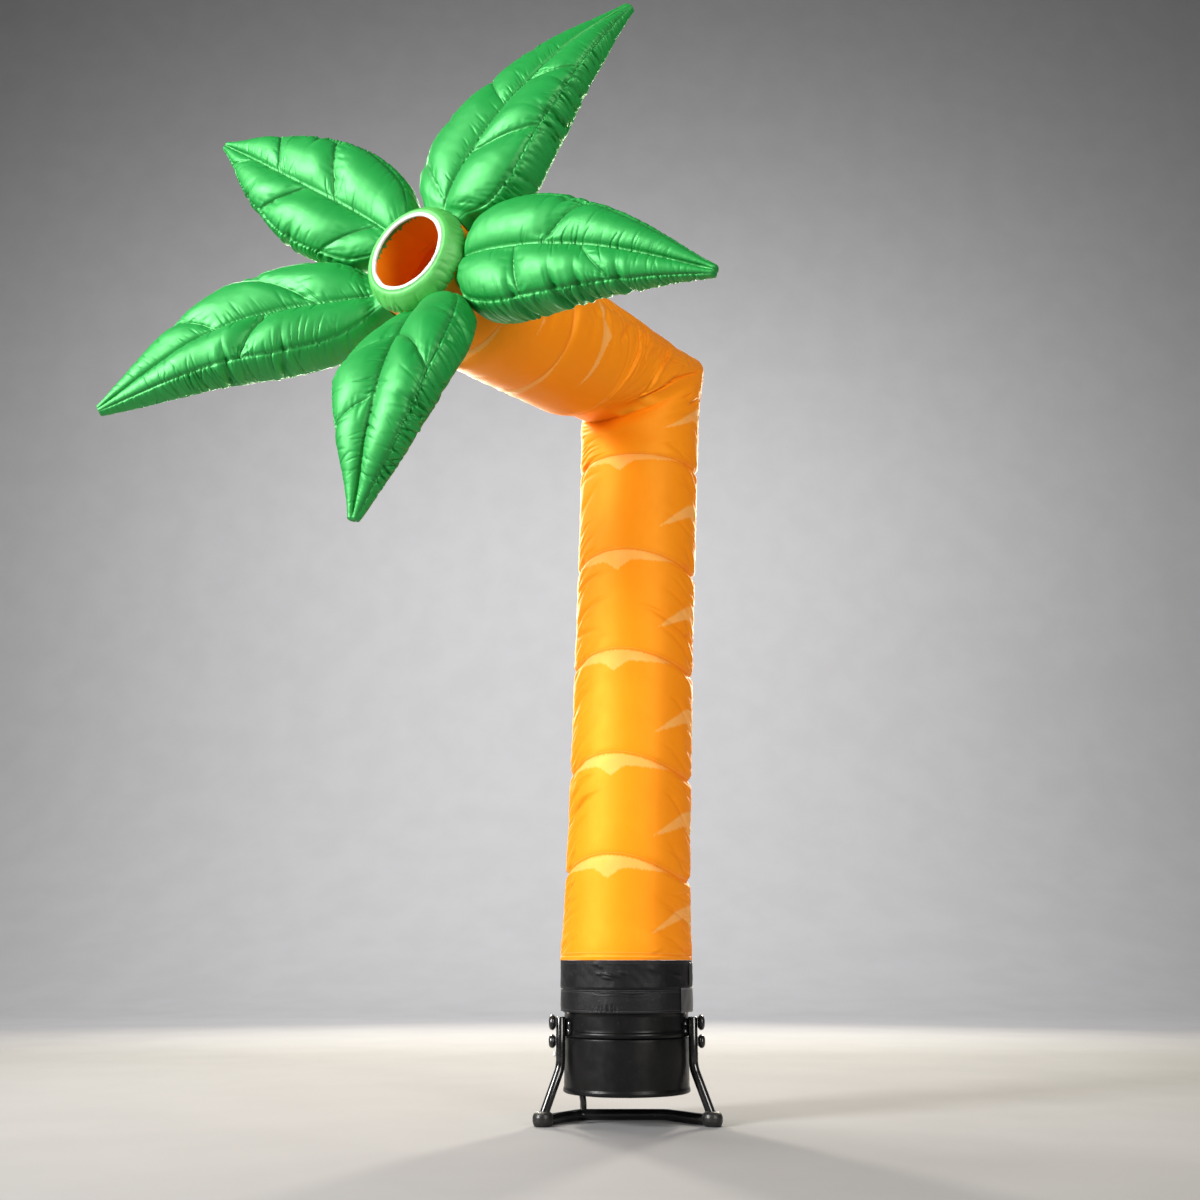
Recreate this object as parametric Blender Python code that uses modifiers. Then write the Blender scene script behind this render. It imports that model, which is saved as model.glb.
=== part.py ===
# Palm-shaped air dancer: a sewn tube of light cloth that folds over into a crown of five inflated
# leaves, strapped to the outlet ring of a blower drum that hangs in a tubular floor stand.
# Metres, +Z up, the floor at Z = 0. The stand faces -Y, and the crown leans out to the front and left.

import math

import bmesh
import bpy
import numpy as np
from mathutils import Matrix, Vector

for old in list(bpy.data.objects):
    bpy.data.objects.remove(old, do_unlink=True)

# ---- sizes shared by several pieces ----
GAP = 0.0003              # left between pieces that touch
FACETS = 48               # flats round the drum and everything that fits round it
CLOTH = 0.0015            # sewn sheet of the tube, leaves, collar and sleeve
BLOWER_X = 0.4414         # blower axis from the middle of the whole object's outline
BLOWER_Y = 0.4511

# ---- blower drum and outlet ring, turned about the blower axis ----
DRUM_RADIUS = 0.1435
DRUM_BOTTOM = 0.064
DRUM_TOP = 0.1845
DRUM_RECESS = 0.074
BEAD_RADIUS = 0.0062
RING_TOP = 0.296
RING_SHOULDER = 0.2385    # the strap grips the ring above this height
OUTLET_RADIUS = 0.1385    # the ring is an open duct from the drum's top into the sleeve
GRIP_RADIUS = 0.1480

# ---- cloth sleeve and strap ----
STRAP_BOTTOM = 0.2390
STRAP_TOP = 0.2870
STRAP_THICK = 0.0022
TAB_FLATS = (-5, 1)       # flats of the ring that the grey tab covers
LAP_FLATS = (-3, 0)       # and the lap of the sleeve above it
HEM_HEIGHT = 0.3515       # where the tube's hem meets the sleeve
SLEEVE_RADIUS = 0.1535

# ---- tube ----
AROUND = 24               # faces round the tube
KINK_HEIGHT = 1.811       # tube axis at the fold
LEAN_X = 0.0497           # the trunk leans this far to the right over its height
SEAM_DEPTH = 0.0055       # how far a seam draws the tube in
SEAM_PITCH = 0.250
ARCH_TURN = -17.0         # the seams arch highest this far round from the front, degrees
CREASE_DEPTH = 0.012      # the fold pinches the tube in
FOLD_FLAT = 0.83          # the crease lies this much of the way to the even mitre
FOLD_FLARE = 0.016        # the trunk widens towards the right, below the fold
FAN = 0.25                # rows lean towards the fold over this length on both sides

# ---- crown ----
CROWN_CENTRE = Vector((-0.453, -0.815, 1.730))   # middle of the vent, from the blower axis
CROWN_TURN = 30.0         # the vent faces this far left of the front, degrees
CROWN_TILT = 4.4          # and this far up
TUBE_END_BACK = 0.0368    # the tube runs through the leaves' roots and ends this far behind the vent
TUBE_MOUTH_RADIUS = 0.1165
VENT_RADIUS = 0.0805
BINDING_WIDTH = 0.0080
BINDING_DEPTH = 0.0064
COLLAR_INNER = 0.0896
COLLAR_OUTER = 0.1180
COLLAR_BACK = 0.0351      # the collar's outer edge lies this far behind the vent
LEAF_ROOT_RADIUS = 0.1235

# ---- stand ----
POST_X = 0.1502
POST_Y = -0.049
POST_RADIUS = 0.0106
POST_TOP = 0.228
SPLAY_HEIGHT = 0.120      # the posts bend outwards below this
FOOT_X = 0.187
FOOT_Y = -0.082
FOOT_RADIUS = 0.023
FOOT_HEIGHT = 0.031
RAIL_RADIUS = 0.0122
RAIL_HEIGHT = 0.0118      # its underside is pressed flat on the floor
RAIL_BACK = 0.030         # the rail's straight run lies this far behind the blower axis
RAIL_BENDS_X = (-0.110, 0.094)
STRUT_RADIUS = 0.0075
STRUT_X = -0.099          # the short strut that carries the drum's left side
PLATE_THICK = 0.0037
PLATE_LOW = 0.186
PLATE_HIGH = 0.224
BOLT_RADIUS = 0.0036
PLATES = {                # flats of the drum that each plate covers, and the flat its bolts sit on
    "left": {"flats": (24, 28), "bolts": 27.5},
    "right": {"flats": (-4, 0), "bolts": -3.5},
}
KNOBS = (("upper", 0.2155, 0.0168), ("lower", 0.1750, 0.0146))

SEAM_ROWS = [             # seams of the trunk, above the hem, and how far each arch rises
    {"along": 0.231, "rise": 0.050},
    {"along": 0.465, "rise": 0.045},
    {"along": 0.716, "rise": 0.037},
    {"along": 0.969, "rise": 0.030},
    {"along": 1.229, "rise": 0.012},
]
GIRTH_ROWS = [            # tube radius along its axis, from the hem
    {"along": 0.000, "radius": 0.1550},
    {"along": 0.025, "radius": 0.1550},
    {"along": 0.090, "radius": 0.1515},
    {"along": 0.280, "radius": 0.1485},
    {"along": 0.700, "radius": 0.1480},
    {"along": 1.050, "radius": 0.1500},
    {"along": 1.250, "radius": 0.1535},
    {"along": 1.460, "radius": 0.1560},
    {"along": 1.900, "radius": 0.1550},
    {"along": 2.085, "radius": 0.1530},
    {"along": 2.180, "radius": 0.1280},
    {"along": 2.225, "radius": 0.1140},
    {"along": 2.290, "radius": 0.1140},
    {"along": 2.400, "radius": TUBE_MOUTH_RADIUS},
]
FOLDS = [                 # gathers on the arm beside the fold: how far past it, depth, side they favour
    {"past": 0.040, "deep": 0.0040},
    {"past": 0.085, "deep": 0.0050},
    {"past": 0.140, "deep": 0.0030},
]
LEAF_PROFILE = [          # along the leaf as a share of its length; sizes of a full-width leaf
    {"along": 0.00, "half": 0.044, "gusset": 0.040, "crown": 0.003},
    {"along": 0.04, "half": 0.074, "gusset": 0.041, "crown": 0.018},
    {"along": 0.10, "half": 0.103, "gusset": 0.041, "crown": 0.028},
    {"along": 0.20, "half": 0.122, "gusset": 0.040, "crown": 0.034},
    {"along": 0.30, "half": 0.128, "gusset": 0.038, "crown": 0.036},
    {"along": 0.40, "half": 0.124, "gusset": 0.036, "crown": 0.035},
    {"along": 0.50, "half": 0.112, "gusset": 0.033, "crown": 0.031},
    {"along": 0.60, "half": 0.096, "gusset": 0.029, "crown": 0.027},
    {"along": 0.70, "half": 0.077, "gusset": 0.025, "crown": 0.022},
    {"along": 0.80, "half": 0.055, "gusset": 0.020, "crown": 0.017},
    {"along": 0.90, "half": 0.031, "gusset": 0.014, "crown": 0.010},
    {"along": 0.96, "half": 0.018, "gusset": 0.010, "crown": 0.006},
    {"along": 1.00, "half": 0.010, "gusset": 0.007, "crown": 0.003},
]
LEAVES = [
    # seat: radius the root is trimmed to; deep: its middle, behind the vent; turn: its place round the
    # vent, from the right, anticlockwise; reach: tip from the vent's axis; swing: tip sideways;
    # lift: tip to the front; bow, sway: the same at mid length; roll in degrees; wide, thick: share of
    # the sizes above; skew: how much wider the anticlockwise half is; belly: above 1 moves the widest
    # place towards the tip
    {"name": "leaf_top", "seat": 0.1180, "deep": 0.0788, "turn": 62.2, "reach": 0.705, "swing": -0.093,
     "lift": -0.075, "bow": 0.024, "sway": -0.007, "roll": -5.1,
     "wide": 1.09, "thick": 1.06, "skew": -0.001, "belly": 0.85},
    {"name": "leaf_right", "seat": 0.1166, "deep": 0.0804, "turn": -13.4, "reach": 0.683, "swing": -0.05,
     "lift": 0.004, "bow": 0.023, "sway": 0.012, "roll": 2.5,
     "wide": 0.87, "thick": 1.14, "skew": -0.001, "belly": 0.80},
    {"name": "leaf_bottom", "seat": 0.1166, "deep": 0.0799, "turn": -83.0, "reach": 0.625, "swing": -0.063,
     "lift": 0.157, "bow": 0.107, "sway": 0.044, "roll": -1.7,
     "wide": 0.99, "thick": 0.83, "skew": -0.036, "belly": 1.04},
    {"name": "leaf_lower_left", "seat": 0.1167, "deep": 0.0798, "turn": -158.2, "reach": 0.714,
     "swing": 0.025, "lift": 0.241, "bow": 0.042, "sway": -0.050, "roll": 4.0,
     "wide": 0.95, "thick": 1.03, "skew": -0.100, "belly": 1.23},
    {"name": "leaf_upper_left", "seat": 0.1172, "deep": 0.0793, "turn": 131.3, "reach": 0.678, "swing": 0.12,
     "lift": 0.131, "bow": 0.039, "sway": 0.022, "roll": 4.3,
     "wide": 0.98, "thick": 0.80, "skew": -0.047, "belly": 1.13},
]
VEINS = [
    # side veins: side 1 is the anticlockwise half; start on the midrib and end on the edge as shares
    # of the length; deep: share of the crown they draw in
    {"leaf": "leaf_top", "side": 1, "start": 0.030, "end": 0.155, "deep": 0.50},
    {"leaf": "leaf_top", "side": -1, "start": 0.220, "end": 0.390, "deep": 0.80},
    {"leaf": "leaf_top", "side": 1, "start": 0.415, "end": 0.500, "deep": 0.45},
    {"leaf": "leaf_top", "side": -1, "start": 0.535, "end": 0.655, "deep": 0.60},
    {"leaf": "leaf_right", "side": -1, "start": 0.265, "end": 0.335, "deep": 0.60},
    {"leaf": "leaf_right", "side": 1, "start": 0.385, "end": 0.485, "deep": 0.80},
    {"leaf": "leaf_right", "side": -1, "start": 0.525, "end": 0.680, "deep": 0.40},
    {"leaf": "leaf_bottom", "side": -1, "start": 0.280, "end": 0.395, "deep": 0.70},
    {"leaf": "leaf_bottom", "side": 1, "start": 0.300, "end": 0.525, "deep": 0.60},
    {"leaf": "leaf_bottom", "side": -1, "start": 0.585, "end": 0.695, "deep": 0.60},
    {"leaf": "leaf_lower_left", "side": -1, "start": 0.215, "end": 0.450, "deep": 0.80},
    {"leaf": "leaf_lower_left", "side": 1, "start": 0.380, "end": 0.505, "deep": 0.80},
    {"leaf": "leaf_lower_left", "side": -1, "start": 0.550, "end": 0.680, "deep": 0.70},
    {"leaf": "leaf_upper_left", "side": 1, "start": 0.085, "end": 0.255, "deep": 0.50},
    {"leaf": "leaf_upper_left", "side": -1, "start": 0.315, "end": 0.470, "deep": 0.60},
    {"leaf": "leaf_upper_left", "side": 1, "start": 0.445, "end": 0.590, "deep": 0.70},
    {"leaf": "leaf_upper_left", "side": -1, "start": 0.610, "end": 0.740, "deep": 0.50},
    {"leaf": "leaf_upper_left", "side": 1, "start": 0.785, "end": 0.895, "deep": 0.40},
]
LEAF_MARKS = (0.0, 0.04, 0.10, 0.80, 0.88, 0.95, 1.0)    # rows of every leaf's net, with one at each vein
VEIN_REACH = 0.05         # a vein draws the leaf in over this much of its length

COLOURS = {               # base colour, roughness, metallic
    "tube_cloth": ((1.0, 0.33, 0.015), 0.50, 0.0),
    "leaf_cloth": ((0.02, 0.42, 0.07), 0.40, 0.0),
    "collar_cloth": ((0.20, 0.55, 0.13), 0.45, 0.0),
    "white_tape": ((0.85, 0.82, 0.75), 0.70, 0.0),
    "black_cloth": ((0.012, 0.012, 0.013), 0.65, 0.0),
    "webbing": ((0.016, 0.016, 0.017), 0.80, 0.0),
    "grey_tab": ((0.07, 0.07, 0.075), 0.75, 0.0),
    "black_paint": ((0.012, 0.012, 0.013), 0.35, 0.6),
    "tube_paint": ((0.008, 0.008, 0.009), 0.18, 0.6),
    "knob_plastic": ((0.010, 0.010, 0.010), 0.30, 0.0),
    "steel": ((0.42, 0.42, 0.44), 0.25, 1.0),
    "foot_rubber": ((0.020, 0.020, 0.020), 0.55, 0.0),
}

parts = bpy.data.collections.new("air_dancer")
cutters = bpy.data.collections.new("cutters")
for group in (parts, cutters):
    bpy.context.scene.collection.children.link(group)
blower_axis = bpy.data.objects.new("blower_axis", None)
blower_axis.location = (BLOWER_X, BLOWER_Y, 0.0)
parts.objects.link(blower_axis)
bpy.context.view_layer.update()


def material(name):
    found = bpy.data.materials.get(name)
    if found:
        return found
    colour, roughness, metallic = COLOURS[name]
    made = bpy.data.materials.new(name)
    made.use_nodes = True
    shader = made.node_tree.nodes["Principled BSDF"]
    shader.inputs["Base Color"].default_value = (*colour, 1.0)
    shader.inputs["Roughness"].default_value = roughness
    shader.inputs["Metallic"].default_value = metallic
    made.diffuse_color = (*colour, 1.0)
    return made


def place(obj, slot, at=(0, 0, 0), turn=None, smooth=35):
    """Puts a piece in the object's collection, at a point measured from the blower axis."""
    for holder in list(obj.users_collection):
        holder.objects.unlink(obj)
    parts.objects.link(obj)
    obj.parent = blower_axis
    obj.location = at
    if turn is not None:
        obj.rotation_euler = turn.to_euler() if hasattr(turn, "to_euler") else turn
    obj.data.materials.clear()
    obj.data.materials.append(material(slot))
    if smooth and obj.type == "MESH":
        obj.data.shade_smooth()
        obj.data.set_sharp_from_angle(angle=math.radians(smooth))
    return obj


def mesh_object(name, verts, faces):
    mesh = bpy.data.meshes.new(name)
    mesh.from_pydata([tuple(v) for v in verts], [], faces)
    mesh.update()
    obj = bpy.data.objects.new(name, mesh)
    parts.objects.link(obj)
    return obj


def turned(name, profile, slot, segments=FACETS, at=(0, 0, 0)):
    """A body turned about Z from (radius, height) points that run down its outer side, top to bottom."""
    mesh = bpy.data.meshes.new(name)
    points = [(r, 0.0, z) for r, z in profile]
    closed = profile[0][0] > 0 and profile[-1][0] > 0
    edges = [(i, i + 1) for i in range(len(points) - 1)]
    if closed:
        edges.append((len(points) - 1, 0))
    mesh.from_pydata(points, edges, [])
    obj = bpy.data.objects.new(name, mesh)
    screw = obj.modifiers.new("turn", "SCREW")
    screw.steps = segments
    screw.render_steps = segments
    screw.use_merge_vertices = True
    screw.merge_threshold = 0.00001
    return place(obj, slot, at)


def boolean(obj, other, operation):
    cut = obj.modifiers.new(operation.lower(), "BOOLEAN")
    cut.operation = operation
    cut.object = other
    cut.solver = "EXACT"
    return cut


def cutter(obj):
    for holder in list(obj.users_collection):
        holder.objects.unlink(obj)
    cutters.objects.link(obj)
    obj.parent = blower_axis
    obj.hide_render = True
    obj.display_type = "WIRE"
    return obj


def primitive(shape, name, **sizes):
    """A box or cylinder from its primitive, centred on its own origin."""
    bm = bmesh.new()
    if shape == "box":
        bmesh.ops.create_cube(bm, size=1.0)
        bmesh.ops.scale(bm, vec=sizes["size"], verts=bm.verts)
    else:
        bmesh.ops.create_cone(bm, cap_ends=True, segments=sizes.get("segments", 24),
                              radius1=sizes["radius"], radius2=sizes["radius"], depth=sizes["depth"])
    mesh = bpy.data.meshes.new(name)
    bm.to_mesh(mesh)
    bm.free()
    return bpy.data.objects.new(name, mesh)


def bent_tube(name, points, radius, slot, round_off=0.0, sides=12):
    """A tube along straight runs with rounded bends, its end caps welded on."""
    route = [Vector(points[0])]
    for before, here, after in zip(points, points[1:], points[2:]):
        before, here, after = Vector(before), Vector(here), Vector(after)
        start = here + (before - here).normalized() * round_off
        end = here + (after - here).normalized() * round_off
        for step in range(5):
            t = step / 4
            route.append(start * (1 - t) ** 2 + here * 2 * t * (1 - t) + end * t ** 2)
    route.append(Vector(points[-1]))
    curve = bpy.data.curves.new(name, "CURVE")
    curve.dimensions = "3D"
    curve.twist_mode = "Z_UP" if abs(route[0].z - route[-1].z) < 0.001 else "MINIMUM"
    curve.bevel_depth = radius
    curve.bevel_resolution = sides // 2 - 2
    curve.use_fill_caps = True
    line = curve.splines.new("POLY")
    line.points.add(len(route) - 1)
    for point, where in zip(line.points, route):
        point.co = (*where, 1.0)
    holder = bpy.data.objects.new(name, curve)
    parts.objects.link(holder)
    bpy.context.view_layer.update()
    ready = holder.evaluated_get(bpy.context.evaluated_depsgraph_get())
    mesh = bpy.data.meshes.new_from_object(ready)
    bm = bmesh.new()
    bm.from_mesh(mesh)
    bmesh.ops.remove_doubles(bm, verts=bm.verts, dist=0.00001)
    bmesh.ops.recalc_face_normals(bm, faces=bm.faces)
    bm.to_mesh(mesh)
    bm.free()
    matrix = holder.matrix_world.copy()
    bpy.data.objects.remove(holder)
    obj = bpy.data.objects.new(name, mesh)
    obj.matrix_world = matrix
    return place(obj, slot)


def read(rows, column, along):
    """A column of a table of rows, read smoothly between its rows."""
    xs = [row["along"] for row in rows]
    ys = [row[column] for row in rows]
    slopes = [(ys[1] - ys[0]) / (xs[1] - xs[0])]
    for i in range(1, len(xs) - 1):
        left = (ys[i] - ys[i - 1]) / (xs[i] - xs[i - 1])
        right = (ys[i + 1] - ys[i]) / (xs[i + 1] - xs[i])
        slopes.append(0.0 if left * right <= 0 else 2 * left * right / (left + right))
    slopes.append((ys[-1] - ys[-2]) / (xs[-1] - xs[-2]))
    along = min(max(along, xs[0]), xs[-1])
    i = max(k for k in range(len(xs) - 1) if xs[k] <= along or k == 0)
    span = xs[i + 1] - xs[i]
    t = (along - xs[i]) / span
    return ((2 * t ** 3 - 3 * t ** 2 + 1) * ys[i] + (t ** 3 - 2 * t ** 2 + t) * span * slopes[i]
            + (3 * t ** 2 - 2 * t ** 3) * ys[i + 1] + (t ** 3 - t ** 2) * span * slopes[i + 1])


def shell(obj, thickness=CLOTH):
    """Gives an open surface its cloth thickness, inwards."""
    skin = obj.modifiers.new("cloth", "SOLIDIFY")
    skin.thickness = thickness
    skin.offset = -1.0
    skin.use_even_offset = True
    skin.thickness_clamp = 0.0
    return obj


# ---- the tube: a trunk, a mitred fold and an arm that ends behind the crown ----
def direction(turn, tilt):
    """A unit vector that leans from the front towards the left by turn and up by tilt, in degrees."""
    turn, tilt = math.radians(turn), math.radians(tilt)
    return Vector((-math.sin(turn) * math.cos(tilt), -math.cos(turn) * math.cos(tilt), math.sin(tilt)))


HEM = Vector((0.0, 0.0, HEM_HEIGHT + GAP * 0.7))
KINK = Vector((LEAN_X, 0.0, KINK_HEIGHT))
CROWN_AXIS = direction(CROWN_TURN, CROWN_TILT)
TUBE_END = CROWN_CENTRE - CROWN_AXIS * TUBE_END_BACK
ARM_START = direction(31.4, -4.85)        # the arm leaves the fold this way, and ends square to the vent
UP = (KINK - HEM).normalized()
TRUNK_LENGTH = (KINK - HEM).length
ARM_HANDLES = (KINK, KINK + ARM_START * 0.50, TUBE_END - CROWN_AXIS * 0.18, TUBE_END)
ARM_LENGTH = (TUBE_END - KINK).length * 1.003
MITRE = (UP + ARM_START).normalized()


def seam_list():
    """Seams along the whole tube: the trunk's rows, then one at every pitch on the arm."""
    seams = [(row["along"], row["rise"]) for row in SEAM_ROWS]
    along = seams[-1][0] + 2 * SEAM_PITCH
    while along < TRUNK_LENGTH + ARM_LENGTH - 0.12:
        seams.append((along, 0.012))
        along += SEAM_PITCH
    return seams


def arm_point(run):
    """Centre and direction of the arm at a distance from the fold."""
    t = run / ARM_LENGTH
    a, b, c, d = ARM_HANDLES
    centre = a * (1 - t) ** 3 + b * 3 * t * (1 - t) ** 2 + c * 3 * t ** 2 * (1 - t) + d * t ** 3
    heading = (b - a) * (1 - t) ** 2 + (c - b) * 2 * t * (1 - t) + (d - c) * t ** 2
    return centre, heading.normalized()


def tube_point(along, angle):
    """A point of the tube's outer face. along is measured on the axis from the hem, angle from the front."""
    around = Vector((math.sin(angle), -math.cos(angle), 0.0))
    level = max(0.0, 1.0 - along / 0.2)                        # the hem lies level
    across = (around - UP * around.dot(UP) * (1 - level)).normalized()
    radius = read(GIRTH_ROWS, "radius", along)
    turn = math.sin(angle - math.radians(ARCH_TURN)) ** 2
    total = TRUNK_LENGTH + ARM_LENGTH
    plain = min(1.0, max(0.0, (total - 0.13 - along) / 0.10))  # nothing bulges where the leaves sit round it
    for place_along, rise in seam_list():
        off = along - place_along
        if abs(off) < 0.08:
            radius -= SEAM_DEPTH * math.exp(-(off / 0.014) ** 2)
            radius += 0.0015 * plain * math.exp(-((abs(off) - 0.045) / 0.03) ** 2)
    to_fold = abs(along - TRUNK_LENGTH)
    radius -= CREASE_DEPTH * math.exp(-(to_fold / 0.022) ** 2)
    inner_side = max(0.0, across.dot((ARM_START - UP * ARM_START.dot(UP)).normalized()))
    radius += 0.006 * inner_side * math.exp(-((to_fold - 0.06) / 0.04) ** 2)
    radius += FOLD_FLARE * max(0.0, across.x) ** 2 * math.exp(-(to_fold / 0.075) ** 2)
    offset = -(across * radius).dot(MITRE) / UP.dot(MITRE)     # the even mitre's height on this side
    arch = 0.0
    marks = [(0.0, 0.0)] + seam_list() + [(total - 0.02, 0.0)]
    for (low, rise_low), (high, rise_high) in zip(marks, marks[1:]):
        if low <= along <= high:
            t = (along - low) / (high - low)
            arch = (rise_low * (1 - t) + rise_high * t) * turn
    if along <= TRUNK_LENGTH:
        start = TRUNK_LENGTH - FAN
        height = along
        if along > start:
            height = start + (along - start) * (FAN + offset * FOLD_FLAT) / FAN
            arch *= (TRUNK_LENGTH - along) / FAN
        return HEM + UP * (height - arch) + across * radius
    past = along - TRUNK_LENGTH
    run = past
    droop = 0.0
    if past < FAN:
        run = past - (FAN - past) / FAN * offset
        arch *= past / FAN
        droop = offset * (FOLD_FLAT - 1) * (1 - past / FAN) ** 1.5
    for fold in FOLDS:
        radius -= fold["deep"] * (1 - 0.7 * inner_side) * math.exp(-((past - fold["past"]) / 0.010) ** 2)
    mirrored = across - MITRE * 2 * across.dot(MITRE)
    run = min(run - arch, ARM_LENGTH)
    centre, heading = arm_point(run)
    bend = ARM_START.rotation_difference(heading)
    return centre + (bend @ mirrored) * radius + UP * droop


def tube_rows():
    """Rows of the tube's net: close on both sides of each seam and of the fold, wider between."""
    total = TRUNK_LENGTH + ARM_LENGTH
    marks = [0.0, TRUNK_LENGTH] + [along for along, rise in seam_list()]
    marks.sort()
    rows = []
    for low, high in zip(marks, marks[1:]):
        rows += [low, low + 0.022, (low + high) / 2, high - 0.022]
    for fold in FOLDS:
        rows += [TRUNK_LENGTH + fold["past"]]
    shoulder = [total - back for back in (0.185, 0.155, 0.128, 0.100, 0.050, 0.0)]
    rows += [marks[-1], marks[-1] + 0.022] + shoulder
    rows = sorted(row for row in rows if row <= total)
    return [row for i, row in enumerate(rows) if i == 0 or row - rows[i - 1] > 0.012]


def make_tube():
    rows = tube_rows()
    verts = []
    for along in rows:
        for step in range(AROUND):
            verts.append(tube_point(along, 2 * math.pi * step / AROUND) - HEM)
    faces = []
    for row in range(len(rows) - 1):
        for step in range(AROUND):
            a = row * AROUND + step
            b = row * AROUND + (step + 1) % AROUND
            faces.append((a, b, b + AROUND, a + AROUND))
    tube = mesh_object("dancer_tube", verts, faces)
    return shell(place(tube, "tube_cloth", HEM, smooth=50))


# ---- the crown: vent, collar and leaves ----
def crown_matrix():
    """The crown's own axes: X to the right and Y up in the plane of the vent, Z out of it."""
    right = Vector((0, 0, 1)).cross(CROWN_AXIS).normalized()
    up = CROWN_AXIS.cross(right)
    turn = Matrix((right, up, CROWN_AXIS)).transposed()
    return Matrix.Translation(CROWN_CENTRE) @ turn.to_4x4()


CROWN = crown_matrix()


def leaf_veins(leaf, side):
    return sorted((vein["start"], vein["end"], vein["deep"]) for vein in VEINS
                  if vein["leaf"] == leaf["name"] and vein["side"] == side)


def vein_slant(leaf, side, row):
    """How much nearer the tip the net's row meets the edge than the midrib."""
    points = [(start, end - start) for start, end, deep in leaf_veins(leaf, side)]
    points = [(0.0, 0.0)] + points + [(1.0, 0.0)]
    return float(np.interp(row, [p[0] for p in points], [p[1] for p in points]))


def vein_pull(leaf, side, row):
    """How far the side veins draw the face in at a row, 0 to 1."""
    pull = 0.0
    for start, end, deep in leaf_veins(leaf, side):
        near = max(0.0, 1 - abs(row - start) / VEIN_REACH)
        pull = max(pull, deep * near ** 1.3)
    return pull


def lobe(share):
    """Height of the swollen half of a face: low at the midrib, full in the middle, nothing at the edge."""
    return math.sin(math.pi * (0.07 + 0.93 * share)) ** 0.8 if share < 1 else 0.0


def leaf_middle(leaf, along):
    """Midline of a leaf in the crown's own axes."""
    turn = math.radians(leaf["turn"])
    radial = Vector((math.cos(turn), math.sin(turn), 0.0))
    side = Vector((-math.sin(turn), math.cos(turn), 0.0))
    hump = math.sin(math.pi * min(max(along, 0.0), 1.0)) ** 1.2
    return (radial * (LEAF_ROOT_RADIUS + (leaf["reach"] - LEAF_ROOT_RADIUS) * along)
            + side * (leaf["swing"] * along ** 1.6 + leaf["sway"] * hump)
            + Vector((0, 0, leaf["lift"] * along ** 1.6 + leaf["bow"] * hump - leaf["deep"])))


def leaf_frame(leaf, along):
    """Where the midline is, with the directions across the leaf and out of its face."""
    ahead = leaf_middle(leaf, min(along + 0.01, 1.0))
    behind = leaf_middle(leaf, max(along - 0.01, 0.0))
    heading = (ahead - behind).normalized()
    out = Vector((0, 0, 1))
    face = (out - heading * out.dot(heading)).normalized()
    face.rotate(Matrix.Rotation(math.radians(leaf["roll"]) * min(1.0, along / 0.3), 3, heading))
    return leaf_middle(leaf, along), face.cross(heading), face


def leaf_point(leaf, row, side, share, place_on):
    """A point of the leaf's outer face. share runs from the midrib to the edge on the front and back;
    on the wall between them it is the turn from the front, in degrees."""
    wall = place_on == "wall"
    along = min(row + vein_slant(leaf, side, row) * (1.0 if wall else share), 1.0)
    pull = vein_pull(leaf, side, row)
    station = along ** leaf["belly"]
    half = read(LEAF_PROFILE, "half", station) * leaf["wide"] * (1 + side * leaf["skew"]) * (1 - 0.05 * pull)
    gusset = read(LEAF_PROFILE, "gusset", station) * (1 + (leaf["thick"] - 1) * min(1.0, along / 0.15))
    crown = read(LEAF_PROFILE, "crown", station)
    if wall:
        turn = math.radians(share)
        across, out = half + 0.35 * gusset * math.sin(turn), gusset * math.cos(turn)
    elif place_on == "front":
        across = half * share
        out = gusset + crown * lobe(share) * (1 - pull * min(1.0, share / 0.15))
    else:
        across = half * share
        out = -gusset - 0.8 * crown * lobe(share)
    middle, across_way, face = leaf_frame(leaf, along)
    point = middle + across_way * (side * across) + face * out
    least = leaf["seat"] + 0.25 * row          # the face rises just outside the collar
    if 0 < row and point.xy.length < least:
        point.xy *= least / point.xy.length
    if row == 0:
        # the root is trimmed to the round of the tube it is sewn to
        turn = math.radians(leaf["turn"])
        radial = Vector((math.cos(turn), math.sin(turn), 0.0))
        sideways = Vector((-math.sin(turn), math.cos(turn), 0.0))
        y = point.dot(sideways)
        rim = leaf["seat"]
        point += radial * (math.sqrt(rim ** 2 - y ** 2) - point.dot(radial))
    return point


def leaf_loop():
    """Once round a leaf's section, as (side, share, place)."""
    half = [("front", share) for share in (0.2, 0.5, 0.8, 1.0)] + [("wall", 90)]
    half += [("back", share) for share in (1.0, 0.75, 0.35)]
    loop = [(1, 0.0, "front")] + [(1, share, where) for where, share in half] + [(1, 0.0, "back")]
    return loop + [(-1, share, where) for where, share in reversed(half)]


def leaf_rows(leaf):
    marks = sorted(set(LEAF_MARKS) | {vein["start"] for vein in VEINS if vein["leaf"] == leaf["name"]})
    marks = [mark for i, mark in enumerate(marks) if i == 0 or mark - marks[i - 1] > 0.012]
    rows = []
    for low, high in zip(marks, marks[1:]):
        between = max(1, math.ceil((high - low) / 0.11))
        rows += [low + (high - low) * k / between for k in range(between)]
    return rows + [1.0]


def make_leaf(leaf):
    loop = leaf_loop()
    verts = []
    for row in leaf_rows(leaf):
        verts += [leaf_point(leaf, row, side, share, where) for side, share, where in loop]
    root = leaf_middle(leaf, 0.0)
    count = len(loop)
    faces = []
    for first in range(0, len(verts) - count, count):
        for i in range(count):
            j = (i + 1) % count
            faces.append((first + i, first + count + i, first + count + j, first + j))
    faces.append(tuple(range(len(verts) - 1, len(verts) - count - 1, -1)))
    obj = mesh_object(leaf["name"], [v - root for v in verts], faces)
    return shell(place(obj, "leaf_cloth", CROWN @ root, CROWN.to_3x3(), smooth=50))


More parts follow.
